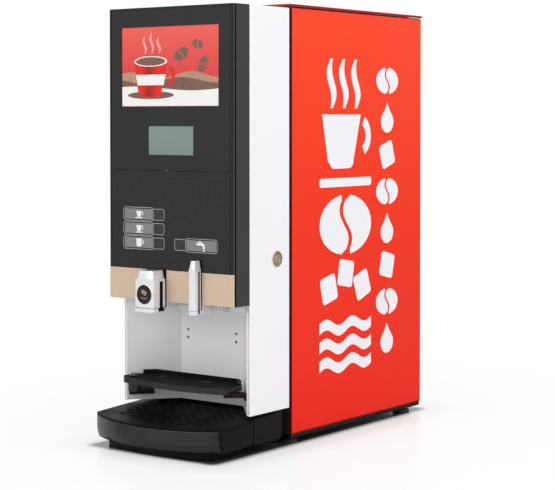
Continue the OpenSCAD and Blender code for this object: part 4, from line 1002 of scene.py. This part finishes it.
INNER_FINISHES = {
    "steel": ("bulkhead", "canister_deck", "mixer_bracket", "power_supply"),
    "clear": ("canister",),
    "white_plastic": ("canister_spout", "mixing_bowl", "whipper_housing", "water_valves", "auger",
                      "agitator_wheel", "whipper"),
    "motor": ("dosing_motor", "whipper_motor"),
    "silicone": ("chocolate_feed", "water_pipes"),
    "boiler": ("boiler",),
    "brass": ("inlet_valve",),
    "board": ("control_board", "display_module", "key_board"),
    "black": ("fan_frame", "power_inlet", "fan_rotor"),
    "screw": ("rear_screws",),
    "switch": ("power_switch",),
    "black_paint": ("hinge_brackets", "front_frame"),
    "grey_paint": ("rear_panel",),
    "grille": ("drip_grille",),
    "brown_plastic": ("canister_lid",),
}


class DISPENSER_OT_carried(bpy.types.Operator):
    """Give the solids that keep their shape their finishes"""
    bl_idname = "dispenser.carried"
    bl_label = "Inner solids"
    bl_options = {"REGISTER", "UNDO"}

    def execute(self, context):
        for finish_name, nodes in INNER_FINISHES.items():
            for node in nodes:
                carried(node, finish_name)
        return {"FINISHED"}


class DISPENSER_OT_cabinet(bpy.types.Operator):
    """Round the folded edges of the cabinet's sheets, its base and its feet"""
    bl_idname = "dispenser.cabinet"
    bl_label = "Cabinet"
    bl_options = {"REGISTER", "UNDO"}

    def execute(self, context):
        s = sizes()
        front_fold = FACE_Y + 0.145
        for node in ("side_panel_left", "side_panel_right"):
            panel = refined(node, "red_paint", s.sheet_edge, 3)
            second_finish(panel, "slot_black", lambda c, n: n.y < -0.3 and c.y < front_fold)
        # the lid takes the red darkened as painted shade
        lid = refined("lid", "lid_painted_shade", s.sheet_edge * 0.6, 2)
        # the hinge knuckles' rounding stays within the height of the solids
        for vert in lid.data.vertices:
            vert.co.z = min(vert.co.z, CAD_BOX[1][2])
        # dark strips as painted shade in the gap under the lid
        self.lid_gap_shades()
        # the pan takes a darker black as painted shade
        refined("floor_pan", "pan_painted_shade", s.sheet_edge * 0.5, 2)
        self.side_border(s.dark_border * 1000, s.film * 1000)
        # the base takes the darker black as painted shade
        refined("base_moulding", "base", s.moulded_edge * 0.6, 2)
        refined("feet", "rubber", s.moulded_edge, 3)
        return {"FINISHED"}

    def lid_gap_shades(self):
        """Dark strips on the side panels' top flanges that fill the gap under the lid with painted shade."""
        low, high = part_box("side_panel_right")
        inset, height, rounding = 0.0010, 0.0016, 0.0004
        for side, name in ((-1, "left"), (1, "right")):
            xs = sorted((side * (high.x - inset), side * (low.x + inset)))
            start = Vector((xs[0], low.y + inset / 2, high.z))
            end = Vector((xs[1], high.y - inset, high.z + height))
            seal = softened(block("lid_gap_shade_" + name, start, end), rounding, 2)
            dress(seal, "rubber", "cabinet", SLOT_OF["feet"])

    def side_border(self, strip, thickness):
        """The right side panel's black ground, beside its red film at the front and the bottom."""
        low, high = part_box("side_panel_right")
        face = Surface(Vector((SIDE_X, low.y, low.z)), (0, 1, 0), (0, 0, 1))
        front, bottom = 0.3, 0.5
        back, top = (high.y - low.y) * 1000 - 0.5, (high.z - low.z) * 1000 - 0.5
        lower = strip * 0.6
        edge = [(front, bottom), (back, bottom), (back, lower), (strip, lower), (strip, top), (front, top)]
        dress(film("side_border", face, edge, thickness), "slot_black", "cabinet", "black_plastic")


class DISPENSER_OT_side_motifs(bpy.types.Operator):
    """Cut the white vinyl motifs of the right side: cups, beans, drops and waves"""
    bl_idname = "dispenser.side_motifs"
    bl_label = "Side motifs"
    bl_options = {"REGISTER", "UNDO"}

    def execute(self, context):
        # the motifs' own corner on the right side, and the middles of their two columns
        side = Surface(Vector((SIDE_X, at(0, 214, 0).y, 0.103)), (0, 1, 0), (0, 0, 1))
        wide, narrow = 74.0, 195.0
        thickness = sizes().film * 1000
        shapes = self.wide_column(wide) + self.narrow_column(narrow)
        pieces = [film("motif", side, outline, thickness) for outline in shapes]
        dress(joined("side_motifs", pieces), "motif", "cabinet", "white_paint")
        return {"FINISHED"}

    def wide_column(self, u):
        """A steaming cup on its saucer, a bean, three marshmallows and three waves."""
        steam = [shifted(ribbon(78, 17, 6, 1), u + dx - 6, 414) for dx in (-34, 0, 34)]
        mug, ear = cup_body(108, 86), handle(50, 52, 34, 15, -62, 62)
        cup = [shifted(mug, u - 12, 318), shifted(ear, u - 12, 318)]
        saucer = shifted(rounded_box(-73, -11, 73, 3, 5), u, 300)
        bean = [shifted(half, u, 228) for half in bean_halves(146, 96)]
        marshmallow = rounded_box(-21, -21, 21, 21, 6)
        places = ((-47, 128, 14), (0, 150, -10), (47, 128, 20))
        heap = [shifted(turned(marshmallow, degrees), u + x, y) for x, y, degrees in places]
        waves = [shifted(wave_bar(146, 17, 6, 2.0), u, 66 - 30 * k) for k in range(3)]
        return [*steam, *cup, saucer, *bean, *heap, *waves]

    def narrow_column(self, u):
        """Small drops, beans and marshmallows in turn."""
        shapes = []
        for k in range(8):
            v = 33 + 61 * k
            if k % 3 == 0:
                shapes.append(shifted(drop(38, 50), u, v - 25))
            elif k % 3 == 1:
                shapes += [shifted(half, u, v) for half in bean_halves(66, 44)]
            else:
                marshmallow = turned(rounded_box(-20, -20, 20, 20, 6), 18 if k % 2 else -14)
                shapes.append(shifted(marshmallow, u, v))
        return shapes


class DISPENSER_OT_door(bpy.types.Operator):
    """Round the edges of the door's shell, housing, panels, strip and bay"""
    bl_idname = "dispenser.door"
    bl_label = "Door"
    bl_options = {"REGISTER", "UNDO"}

    def execute(self, context):
        s = sizes()
        refined("door_shell", "white_paint", s.sheet_edge, 3)
        housing = refined("fascia_housing", "charcoal", s.moulded_edge, 3)
        # the housing's front faces, seen only in the gaps round the panels, are black as painted shade in
        # those gaps
        second_finish(housing, "slot_black", lambda c, n: n.y < -0.9)
        for node in ("upper_panel", "lower_panel"):
            self.front_panel(node, s)
        refined("trim_strip", "beige", s.sheet_edge * 0.7, 2)
        refined("bay_liner", "liner", s.sheet_edge * 0.8, 2)
        refined("outlet_carrier", "carrier", s.sheet_edge, 2)
        self.bay_flanges()
        self.liner_inserts()
        return {"FINISHED"}

    def front_panel(self, node, s):
        """A front panel with the grooves that frame it: at its sides, and across the top of the upper one."""
        low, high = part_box(node)
        half_groove, over = 0.0006, 0.001
        side_groove_end, top_groove_start, top_groove_end = high.z - 0.0030, high.z - 0.0036, high.z - 0.0026
        front, back = low.y - over, low.y + over
        panel = copy_of(node, node + "_finish")
        for x in (-s.frame_groove, s.frame_groove):
            start = Vector((x - half_groove, front, low.z - over))
            cut(panel, block("groove", start, Vector((x + half_groove, back, side_groove_end))))
        if node == "upper_panel":
            reach = s.frame_groove + half_groove
            start = Vector((-reach, front, top_groove_start))
            cut(panel, block("groove", start, Vector((reach, back, top_groove_end))))
        dress(softened(panel, s.sheet_edge, 3), "panel", "door", SLOT_OF[node], node)
        right_edge = 0.119
        # the roundings at the right edge take a painted highlight
        second_finish(panel, "panel_edge_highlight", lambda c, n: n.x > 0.76 and c.x > right_edge)

    def bay_flanges(self):
        """Folded flanges that close the bay's top corners beside the carrier."""
        inner, outer, front, back, bottom, top = 84.4, 117.2, 37.0, 38.4, 212.3, 223.6
        fold_in, fold_back = 0.0053, 0.0059
        for side, name in ((-1, "left"), (1, "right")):
            xs = sorted((inner * side, outer * side))
            flange = block("bay_flange_" + name, at(xs[0], front, bottom), at(xs[1], back, top))
            with editing(flange):
                select_faces(flange, lambda c, n: n.x * side > 0.9)
                fold = (-fold_in * side, fold_back, 0)
                bpy.ops.mesh.extrude_region_move(TRANSFORM_OT_translate={"value": fold})
                faces_outwards()
            dress(softened(flange, 0.0003, 2), "liner", "door", SLOT_OF["bay_liner"])

    def liner_inserts(self):
        """Closed threaded inserts in the rear wall's holes, black as painted shade in the holes."""
        front, back, radius, wall, depth = 102.9, 107.0, 0.0031, 0.0013, 0.003
        for k, (x, z) in enumerate(((-48, 169), (48, 169), (-48, 156.3), (48, 156.3))):
            insert = rod("liner_insert_%d" % k, at(x, front, z), at(x, back, z), radius, 24)
            with editing(insert):
                select_faces(insert, lambda c, n: n.y < -0.9)
                bpy.ops.mesh.inset(thickness=wall)
                bpy.ops.mesh.extrude_region_move(TRANSFORM_OT_translate={"value": (0, depth, 0)})
            dress(softened(insert, 0.0, 2, 40), "slot_black", "door", "black_plastic")


PRINT_LAYER = 0.05


def printed(name, finish_name, surface, outline, level=1):
    """A shape printed on the picture, at its place in the stack of layers."""
    piece = film(name, surface, outline, PRINT_LAYER, PRINT_LAYER * (level - 1))
    return dress(piece, finish_name, "door", "picture_print")


class DISPENSER_OT_picture(bpy.types.Operator):
    """Print the picture: a red ground with brown and cream waves and a steaming cup"""
    bl_idname = "dispenser.picture"
    bl_label = "Picture"
    bl_options = {"REGISTER", "UNDO"}

    def execute(self, context):
        low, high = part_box("picture_insert")
        refined("picture_insert", "print_red", 0.0001, 1)
        face = Surface(Vector((low.x, low.y, low.z)), (1, 0, 0), (0, 0, 1))
        edge = 0.4
        right = (high.x - low.x) * 1000 - edge
        waves = (("tan", 47, 5, 1.6, 0.1), ("brown", 39, 4.5, 1.3, 0.45), ("cream", 27, 3.5, 0.8, 0.15))
        for level, (colour, height, sway, turns, phase) in enumerate(waves, start=1):
            wave = band(edge, right, edge, height, sway, turns, phase=phase)
            printed("picture_%s_wave" % colour, "print_" + colour, face, wave, level)
        self.cup(face.moved(58, 14))
        for k, (u, length) in enumerate(((46, 26), (60, 31), (74, 24))):
            printed("picture_steam_%d" % k, "print_pink", face.moved(u, 80), ribbon(length, 5, 2.5, 1))
        for k, (u, v, size, degrees) in enumerate(((118, 78, 30, 25), (150, 92, 22, -20), (160, 62, 26, 60))):
            shapes = [turned(half, degrees) for half in bean_halves(size, size * 0.62)]
            halves = [film("bean", face.moved(u, v), shape, PRINT_LAYER) for shape in shapes]
            dress(joined("picture_bean_%d" % k, halves), "print_brown", "door", "picture_print")
        return {"FINISHED"}

    def cup(self, spot):
        """A mug of chocolate on its saucer, printed over the waves."""
        printed("picture_saucer", "print_brown", spot, oval(0, 3, 46, 0.13), 4)
        printed("picture_handle", "print_mug", spot, handle(32, 32, 16, 6, -75, 75), 4)
        printed("picture_mug", "print_mug", spot, cup_body(66, 54, 0.66, 0.16), 5)
        printed("picture_mug_band", "print_cream", spot, [(-26, 18), (26, 18), (30, 34), (-30, 34)], 6)
        printed("picture_rim", "print_cream", spot, oval(0, 54, 33, 0.24), 6)
        printed("picture_drink", "print_brown", spot, oval(0, 54, 29.5, 0.22), 7)


class DISPENSER_OT_display(bpy.types.Operator):
    """Set the unlit display behind its window"""
    bl_idname = "dispenser.display"
    bl_label = "Display"
    bl_options = {"REGISTER", "UNDO"}

    def execute(self, context):
        refined("display_window", "display", 0.0003, 2)
        return {"FINISHED"}


class DISPENSER_OT_keys(bpy.types.Operator):
    """Keys, label films with their icons, and the printed outlines round them"""
    bl_idname = "dispenser.keys"
    bl_label = "Keys and labels"
    bl_options = {"REGISTER", "UNDO"}

    def execute(self, context):
        refined("label_plates", "label", 0.00015, 2)
        # each key's label side and icon
        keys = {"key_top": (-1, self.small_cup), "key_middle": (-1, self.small_cup),
                "key_bottom": (-1, self.large_cup), "key_right": (1, self.tap)}
        label_away = 40.5
        plate_y = (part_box("label_plates")[0].y - FACE_Y) * 1000
        outline_width, outline_thickness = sizes().outline * 1000, 0.1
        rims, icons = [], []
        for node, (side, icon_shapes) in keys.items():
            refined(node, "key", 0.0006, 3)
            low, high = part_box(node)
            x, z = (low.x + high.x) * 500, (low.z + high.z) * 500
            label_x = x + side * label_away
            panel = Surface(at(x, 0, z), (1, 0, 0), (0, 0, 1))
            plate = Surface(at(label_x, plate_y, z), (1, 0, 0), (0, 0, 1))
            for spot, shape in ((panel, chamfered(22.4, 17.4, 2.4)),
                                (panel.moved(label_x - x, 0), chamfered(62.0, 20.8, 3.4))):
                rims.append(film("rim", spot, shape, outline_thickness, 0.0, outline_width))
            icons += [film("icon", spot, shape, 0.06) for spot, shape in icon_shapes(plate)]
        dress(joined("key_outlines", rims), "outline", "door", "label_film")
        dress(joined("label_icons", icons), "icon", "door", "label_film")
        return {"FINISHED"}

    def small_cup(self, plate):
        spot = plate.moved(1, -4.6)
        saucer = rounded_box(-7.6, -2.2, 7.6, -0.8, 0.6, 2)
        return [(spot, cup_body(11, 9.2)), (spot, handle(5.2, 5.4, 3.3, 1.3, -62, 62)), (spot, saucer)]

    def large_cup(self, plate):
        spot = plate.moved(1, -6)
        return [(spot, cup_body(11.5, 12.2, 0.84, 0.1)), (spot, handle(5.4, 6.6, 4.0, 1.5, -62, 62))]

    def tap(self, plate):
        spot = plate.moved(-1, -5.4)
        spout = [(-8, 6), (2, 6), (4, 4), (4, 1), (8, 1), (8, 6), (4.6, 10), (-8, 10)]
        knob = rounded_box(-4.4, 10.6, 1.4, 12.4, 0.6, 2)
        return [(spot, spout), (spot, knob), (spot.moved(6, -3.6), drop(3.2, 4.2))]


class DISPENSER_OT_line_art(bpy.types.Operator):
    """Faint cup outlines printed on the lower panel"""
    bl_idname = "dispenser.line_art"
    bl_label = "Line art"
    bl_options = {"REGISTER", "UNDO"}

    def execute(self, context):
        face = Surface(at(0, 0, 0), (1, 0, 0), (0, 0, 1))
        thickness, line_width = 0.05, 2.6
        pieces = []
        for x, z, w, h, side in ((24, 344, 68, 64, 1), (-84, 374, 46, 42, -1), (94, 378, 32, 36, -1)):
            spot = face.moved(x, z)
            pieces.append(film("line", spot, cup_body(w, h, 0.6), thickness, 0.0, line_width))
            ear = [(side * u, v) for u, v in handle(w * 0.46, h * 0.58, h * 0.25, h * 0.055, -62, 62)]
            pieces.append(film("line", spot, ear, thickness, 0.0))
        dress(joined("panel_line_art", pieces), "line_art", "door", "panel_black")
        return {"FINISHED"}


class DISPENSER_OT_outlets(bpy.types.Operator):
    """Chromed covers and collars of the chocolate and water outlets, with the blank badge"""
    bl_idname = "dispenser.outlets"
    bl_label = "Outlets"
    bl_options = {"REGISTER", "UNDO"}

    def execute(self, context):
        for node, width, angle in (("chocolate_cover", 0.0009, 20), ("water_cover", 0.0006, 20),
                                   ("outlet_collars", 0.0009, 25)):
            # faces turned to the right take the paler chrome as a painted reflection
            second_finish(refined(node, "chrome", width, 3, angle), "chrome_side_painted_reflection", lambda c, n: n.x > 0.6)
        refined("outlet_cores", "slot_black", 0.0, 2)
        self.badge(sizes())
        return {"FINISHED"}

    def badge(self, s):
        """A domed dark disc in a chromed ring on the chocolate outlet, printed with a bean and a wave."""
        low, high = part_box("chocolate_cover")
        off_middle, rim, slope = 0.0014, 0.0005, 0.0002
        centre = Vector(((low.x + high.x) / 2 + off_middle, low.y, s.badge_height))
        back, seat, disc_front, print_face, ring_front = (
            centre + Vector((0, y, 0)) for y in (0.0004, -0.0003, -0.0006, -0.00078, -0.0008))
        ring = rod("badge_ring", back, ring_front, s.badge_radius, 64)
        with editing(ring):
            select_faces(ring, lambda c, n: n.y < -0.9)
            bpy.ops.mesh.inset(thickness=rim)
            bpy.ops.mesh.inset(thickness=slope, depth=-0.0004)
        dress(softened(ring, 0.0002, 2), "chrome", "door", "outlet_chrome")
        inner = s.badge_radius - rim - slope
        disc = rod("badge_disc", seat, disc_front, inner, 64)
        with editing(disc):
            select_faces(disc, lambda c, n: n.y < -0.9)
            for share in (0.3, 0.5, 0.6):
                bpy.ops.mesh.inset(thickness=inner * share * 0.5, depth=0.00006)
        dress(softened(disc, 0.0, 2, 40), "badge", "door", "black_plastic")
        face = Surface(print_face, (1, 0, 0), (0, 0, 1))
        shapes = [(3, turned(half, -24)) for half in bean_halves(11, 7.6)]
        shapes.append((-5.6, wave_bar(13, 1.3, 0.7, 1.5)))
        prints = [film("badge_print", face.moved(0, v), shape, 0.06, -0.02) for v, shape in shapes]
        dress(joined("badge_print", prints), "print_tan", "door", "black_plastic")


class DISPENSER_OT_lock(bpy.types.Operator):
    """Cam lock on the right cheek"""
    bl_idname = "dispenser.lock"
    bl_label = "Lock"
    bl_options = {"REGISTER", "UNDO"}

    def execute(self, context):
        refined("lock_housing", "brass", 0.0006, 3)
        refined("lock_barrel", "lock_face", 0.0003, 2)
        return {"FINISHED"}


class DISPENSER_OT_tray_and_shelf(bpy.types.Operator):
    """Drip tray, grille and cup shelf, with their raised cup marks"""
    bl_idname = "dispenser.tray_and_shelf"
    bl_label = "Tray and shelf"
    bl_options = {"REGISTER", "UNDO"}

    def execute(self, context):
        s = sizes()
        tray = copy_of("drip_tray", "drip_tray_finish")
        self.round_under(tray, s.tray_round, s.tray_round_z)
        dress(softened(tray, s.moulded_edge * 1.2, 3, 28), "black", "tray", SLOT_OF["drip_tray"], "drip_tray")
        shelf = refined("cup_shelf", "black", s.moulded_edge * 1.3, 3, 25)
        for piece in (tray, shelf):
            # upward faces: textured, with their colour darkened as painted shade
            second_finish(piece, "black_top_painted_shade", lambda c, n: n.z > 0.93)
            # rounded front and right edges: a painted highlight
            second_finish(piece, "black_edge_highlight", self.highlit_edges)
        plinth_top = 0.0140
        # the plinth under the tray and the tray's right side take the darker base black as painted shade
        second_finish(tray, "base", lambda c, n: n.z < 0.9 and (c.z < plinth_top or n.x > 0.7))
        self.shelf_brackets(s.moulded_edge * 0.6)
        self.tray_recess_shade(tray)
        self.marks()
        return {"FINISHED"}

    def round_under(self, tray, reach, height):
        """The bow's lower bevel runs out in a wide round."""
        with editing(tray):
            mesh = bmesh.from_edit_mesh(tray.data)
            bpy.ops.mesh.select_all(action="DESELECT")
            bpy.ops.mesh.select_mode(type="EDGE")
            for edge in mesh.edges:
                level = all(abs(vert.co.z - height) < 0.00005 for vert in edge.verts)
                edge.select_set(level and all(abs(face.normal.z) < 0.9 for face in edge.link_faces))
            bmesh.update_edit_mesh(tray.data)
            bpy.ops.mesh.bevel(offset=reach, offset_type="OFFSET", segments=5, affect="EDGES")

    def highlit_edges(self, c, n):
        """The rounded upper edges at the front and the right, which take a painted highlight."""
        at_front = c.y < FACE_Y + 0.062
        return at_front and 0.25 < n.z < 0.93 and (n.y < -0.25 or n.x > 0.5)

    def shelf_brackets(self, rounding):
        """The left bracket is black, and the right one is moulded in brown."""
        left = refined("shelf_supports", "black", rounding, 2)
        with editing(left):
            select_faces(left, lambda c, n: c.x > 0)
            bpy.ops.mesh.separate(type="SELECTED")
        right = next(piece for piece in bpy.context.selected_objects if piece != left)
        right.name = "shelf_bracket_right"
        dress(right, "bracket", "door", "black_plastic")

    def tray_recess_shade(self, tray):
        """A flat black film near the tray's right front corner, as painted shade of a narrow recess."""
        outside, inwards = at(150, -60, 38.5), Vector((-32, 31, 0))
        hit, spot, out, _ = tray.ray_cast(outside, inwards)
        if not hit:
            raise RuntimeError("the tray's front corner isn't where its recess belongs")
        corner = Surface(spot, Vector((0, 0, 1)).cross(out), (0, 0, 1))
        recess = film("tray_recess_shade", corner, rounded_box(-0.9, -7.6, 0.9, 7.6, 0.6, 2), 0.08, -0.02)
        dress(recess, "slot_black", "tray", "black_plastic")

    def marks(self):
        """Two cup signs on the shelf, and two larger ones on the grille's slope."""
        deck_below_top = 6
        shelf_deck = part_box("cup_shelf")[1].z * 1000 - deck_below_top
        for k, (x, y) in enumerate(((-47, 43), (39, 41))):
            spot = Surface(at(x, y, shelf_deck), (1, 0, 0), (0, 1, 0))
            self.mark("shelf_mark_%d" % k, spot, "cup_shelf", 1.0)
        slope = math.radians(2.8)
        up_slope = (0, math.cos(slope), math.sin(slope))
        grille_y, grille_z = 46, 52.2
        for k, (x, y) in enumerate(((-44, 29), (47, 24))):
            z = grille_z + (y - grille_y) * math.tan(slope)
            self.mark("grille_mark_%d" % k, Surface(at(x, y, z), (1, 0, 0), up_slope), "drip_grille", 1.2)

    def mark(self, name, spot, node, size):
        """A cup sign, raised a little over the face it marks."""
        saucer = rounded_box(-14, -3.4, 14, -1, 1, 2)
        shapes = (cup_body(22, 17, 0.6), handle(10.5, 9.5, 6, 2.4, -60, 60), saucer)
        pieces = [film("mark", spot, scaled(shape, size, 0, -9 * size), 0.7, -0.1) for shape in shapes]
        dress(softened(joined(name, pieces), 0.0002, 2), "slot_black", BODY_OF[node], "black_plastic")


# The stage

AIM = Vector((0, 0, 0.3))


class DISPENSER_OT_stage(bpy.types.Operator):
    """Pale floor, soft studio lights and the camera"""
    bl_idname = "dispenser.stage"
    bl_label = "Studio"
    bl_options = {"REGISTER", "UNDO"}

    def execute(self, context):
        self.floor()
        self.softbox("front_softbox", (-0.45, -2.9, 1.45), (3.0, 1.8), 38, (1.0, 0.99, 0.98))
        self.softbox("right_softbox", (2.8, 0.2, 1.7), (2.0, 2.2), 34, (1.0, 1.0, 1.0))
        self.softbox("top_softbox", (0.2, 0.1, 2.6), (2.4, 2.4), 24, (1.0, 1.0, 1.0))
        self.card("left_card", (-2.6, -1.5, 0.45), (1.1, 1.5))
        self.card("rear_card", (1.9, 2.6, 0.5), (0.9, 1.2))
        self.camera()
        self.world()
        context.scene.view_settings.view_transform = "Standard"
        return {"FINISHED"}

    def floor(self):
        rest()
        bpy.ops.mesh.primitive_plane_add(size=24, location=(0, 0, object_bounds()[0].z))
        floor = placed("studio_floor")
        with editing(floor):
            bpy.ops.mesh.subdivide(number_cuts=3)
        floor.data.materials.append(self.floor_material())
        floor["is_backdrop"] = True

    def softbox(self, name, place, size, power, colour):
        rest()
        turn = (AIM - Vector(place)).to_track_quat("-Z", "Y").to_euler()
        bpy.ops.object.light_add(type="AREA", location=place, rotation=turn)
        lamp = bpy.context.object
        lamp.name = name
        lamp.data.shape, lamp.data.size, lamp.data.size_y = "RECTANGLE", size[0], size[1]
        lamp.data.energy, lamp.data.color = power, colour

    def card(self, name, place, size):
        """A dark card that only mirrors show, for contrast in the chrome."""
        rest()
        turn = (AIM - Vector(place)).to_track_quat("Z", "Y").to_euler()
        bpy.ops.mesh.primitive_plane_add(size=1, location=place, rotation=turn, scale=(*size, 1))
        card = placed(name)
        with editing(card):
            bpy.ops.mesh.subdivide(number_cuts=1)
        card.data.materials.append(self.card_material())
        card.visible_camera = card.visible_diffuse = card.visible_shadow = card.visible_transmission = False
        card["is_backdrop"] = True

    def camera(self):
        """A long lens from the front right, half a metre above the table and shifted down."""
        # in the picture's own points
        picture_width, focal_length, lens_middle, picture_middle = 555, 1628.6, 167.5, 245.0
        sensor = 36.0
        pitch, heading = 1.72, 36.75
        rest()
        turn = (math.radians(90 - pitch), 0, math.radians(heading))
        bpy.ops.object.camera_add(location=(1.5946, -2.0945, 0.5005), rotation=turn)
        camera = bpy.context.object
        camera.name = "studio_camera"
        camera.data.sensor_fit, camera.data.sensor_width = "HORIZONTAL", sensor
        camera.data.lens = focal_length * sensor / picture_width
        camera.data.shift_y = (lens_middle - picture_middle) / picture_width
        camera.data.clip_end = 60
        bpy.context.scene.camera = camera

    def card_material(self):
        made = bpy.data.materials.get("Studio card")
        if made:
            return made
        made = empty_material("Studio card")
        tree = made.node_tree
        v = put(tree, "ShaderNodeTexCoord").outputs["Object"]
        rough = spread(tree, noise(tree, v, 1.5), 0.85, 0.95)
        surface = {"Base Color": (0.03, 0.03, 0.032, 1.0), "Roughness": rough, "Specular IOR Level": 0.1}
        shader = put(tree, "ShaderNodeBsdfPrincipled", surface)
        put(tree, "ShaderNodeOutputMaterial", {"Surface": shader.outputs[0]})
        return made

    def floor_material(self):
        """Pale and slightly glossy, with a painted shadow where the machine stands. Seen by the camera it
        brightens to the backdrop with distance, as painted light that fades the shadow out.
        """
        made = empty_material("Studio floor")
        tree = made.node_tree
        v = put(tree, "ShaderNodeTexCoord").outputs["Object"]
        rough = spread(tree, noise(tree, v, 3.0), 0.17, 0.22)
        distance = self.distance_from_machine(tree, v)
        # painted light: it brightens steeply beside the machine, then more and more slowly
        near = spread(tree, distance, 0.0, 0.55, 0.008, 0.032)
        middle = spread(tree, distance, 0.0, 0.25, 0.032, 0.09)
        far = spread(tree, distance, 0.0, 0.20, 0.09, 0.6)
        # painted contact shadow: dark where the machine stands
        painted_contact_shadow = spread(tree, distance, 0.0, 1.0, 0.004, 0.026)
        near.node.interpolation_type = painted_contact_shadow.node.interpolation_type = "SMOOTHSTEP"
        total = added(tree, added(tree, near, middle), far)
        share = multiplied(tree, put(tree, "ShaderNodeLightPath").outputs["Is Camera Ray"], total)
        shade = blended(tree, painted_contact_shadow, (0.05, 0.05, 0.05, 1.0), (0.86, 0.86, 0.865, 1.0))
        surface = {"Base Color": shade, "Roughness": rough, "Specular IOR Level": 0.3}
        shader = put(tree, "ShaderNodeBsdfPrincipled", surface)
        glow = put(tree, "ShaderNodeEmission", {"Color": (1.0, 1.0, 1.0, 1.0), "Strength": 1.0})
        both = put(tree, "ShaderNodeMixShader", {0: share, 1: shader.outputs[0], 2: glow.outputs[0]})
        put(tree, "ShaderNodeOutputMaterial", {"Surface": both.outputs[0]})
        return made

    def distance_from_machine(self, tree, v):
        """The distance from the plinth and the feet, which stand a little inside the machine's outline."""
        (left, front, _), (right, back, _) = CAD_BOX
        front_inset, side_inset, back_inset = 0.022, 0.016, 0.008
        middles = ((left + right) / 2, (front + front_inset + back) / 2)
        halves = ((right - left) / 2 - side_inset, (back - front - front_inset) / 2 - back_inset)
        place = put(tree, "ShaderNodeSeparateXYZ", {0: v}).outputs
        squares = []
        for axis, middle, half in zip("XY", middles, halves):
            off = maths(tree, "ABSOLUTE", maths(tree, "SUBTRACT", place[axis], middle))
            beside = maths(tree, "MAXIMUM", maths(tree, "SUBTRACT", off, half))
            squares.append(multiplied(tree, beside, beside))
        return maths(tree, "SQRT", added(tree, *squares))

    def world(self):
        """White where the camera, mirrors and clear pieces look, and a cooler, weaker light on everything."""
        world = bpy.data.worlds.new("Studio surroundings")
        bpy.context.scene.world = world
        world.use_nodes = True
        tree = world.node_tree
        tree.nodes.clear()
        ray = put(tree, "ShaderNodeLightPath").outputs
        mirrored = maths(tree, "MAXIMUM", ray["Is Glossy Ray"], ray["Is Transmission Ray"])
        seen = maths(tree, "MAXIMUM", ray["Is Camera Ray"], mirrored)
        light = put(tree, "ShaderNodeBackground", {"Color": (0.94, 0.96, 1.0, 1.0), "Strength": 0.55})
        white = put(tree, "ShaderNodeBackground", {"Color": (1.0, 1.0, 1.0, 1.0), "Strength": 1.0})
        both = put(tree, "ShaderNodeMixShader", {0: seen, 1: light.outputs[0], 2: white.outputs[0]})
        put(tree, "ShaderNodeOutputWorld", {"Surface": both.outputs[0]})


OPERATORS = (
    DISPENSER_OT_carried, DISPENSER_OT_cabinet, DISPENSER_OT_side_motifs, DISPENSER_OT_door,
    DISPENSER_OT_picture, DISPENSER_OT_display, DISPENSER_OT_keys, DISPENSER_OT_line_art,
    DISPENSER_OT_outlets, DISPENSER_OT_lock, DISPENSER_OT_tray_and_shelf, DISPENSER_OT_stage)


class DISPENSER_PT_finish(bpy.types.Panel):
    """The dispenser's pieces, one button each"""
    bl_idname = "DISPENSER_PT_finish"
    bl_label = "Dispenser"
    bl_space_type = "VIEW_3D"
    bl_region_type = "UI"
    bl_category = "Dispenser"

    def draw(self, context):
        for group_name in ("dispenser_sizes", "dispenser_colours"):
            values = getattr(context.scene, group_name)
            for key in type(values).__annotations__:
                self.layout.prop(values, key)
        for operator in OPERATORS:
            self.layout.operator(operator.bl_idname)


CLASSES = (DispenserSizes, DispenserColours, *OPERATORS, DISPENSER_PT_finish)


def register():
    for item in CLASSES:
        bpy.utils.register_class(item)
    bpy.types.Scene.dispenser_sizes = bpy.props.PointerProperty(type=DispenserSizes)
    bpy.types.Scene.dispenser_colours = bpy.props.PointerProperty(type=DispenserColours)


def unregister():
    del bpy.types.Scene.dispenser_colours
    del bpy.types.Scene.dispenser_sizes
    for item in reversed(CLASSES):
        bpy.utils.unregister_class(item)


def main():
    register()
    for operator in OPERATORS:
        getattr(bpy.ops.dispenser, operator.bl_idname.split(".")[1])()


if __name__ == "__main__":
    main()
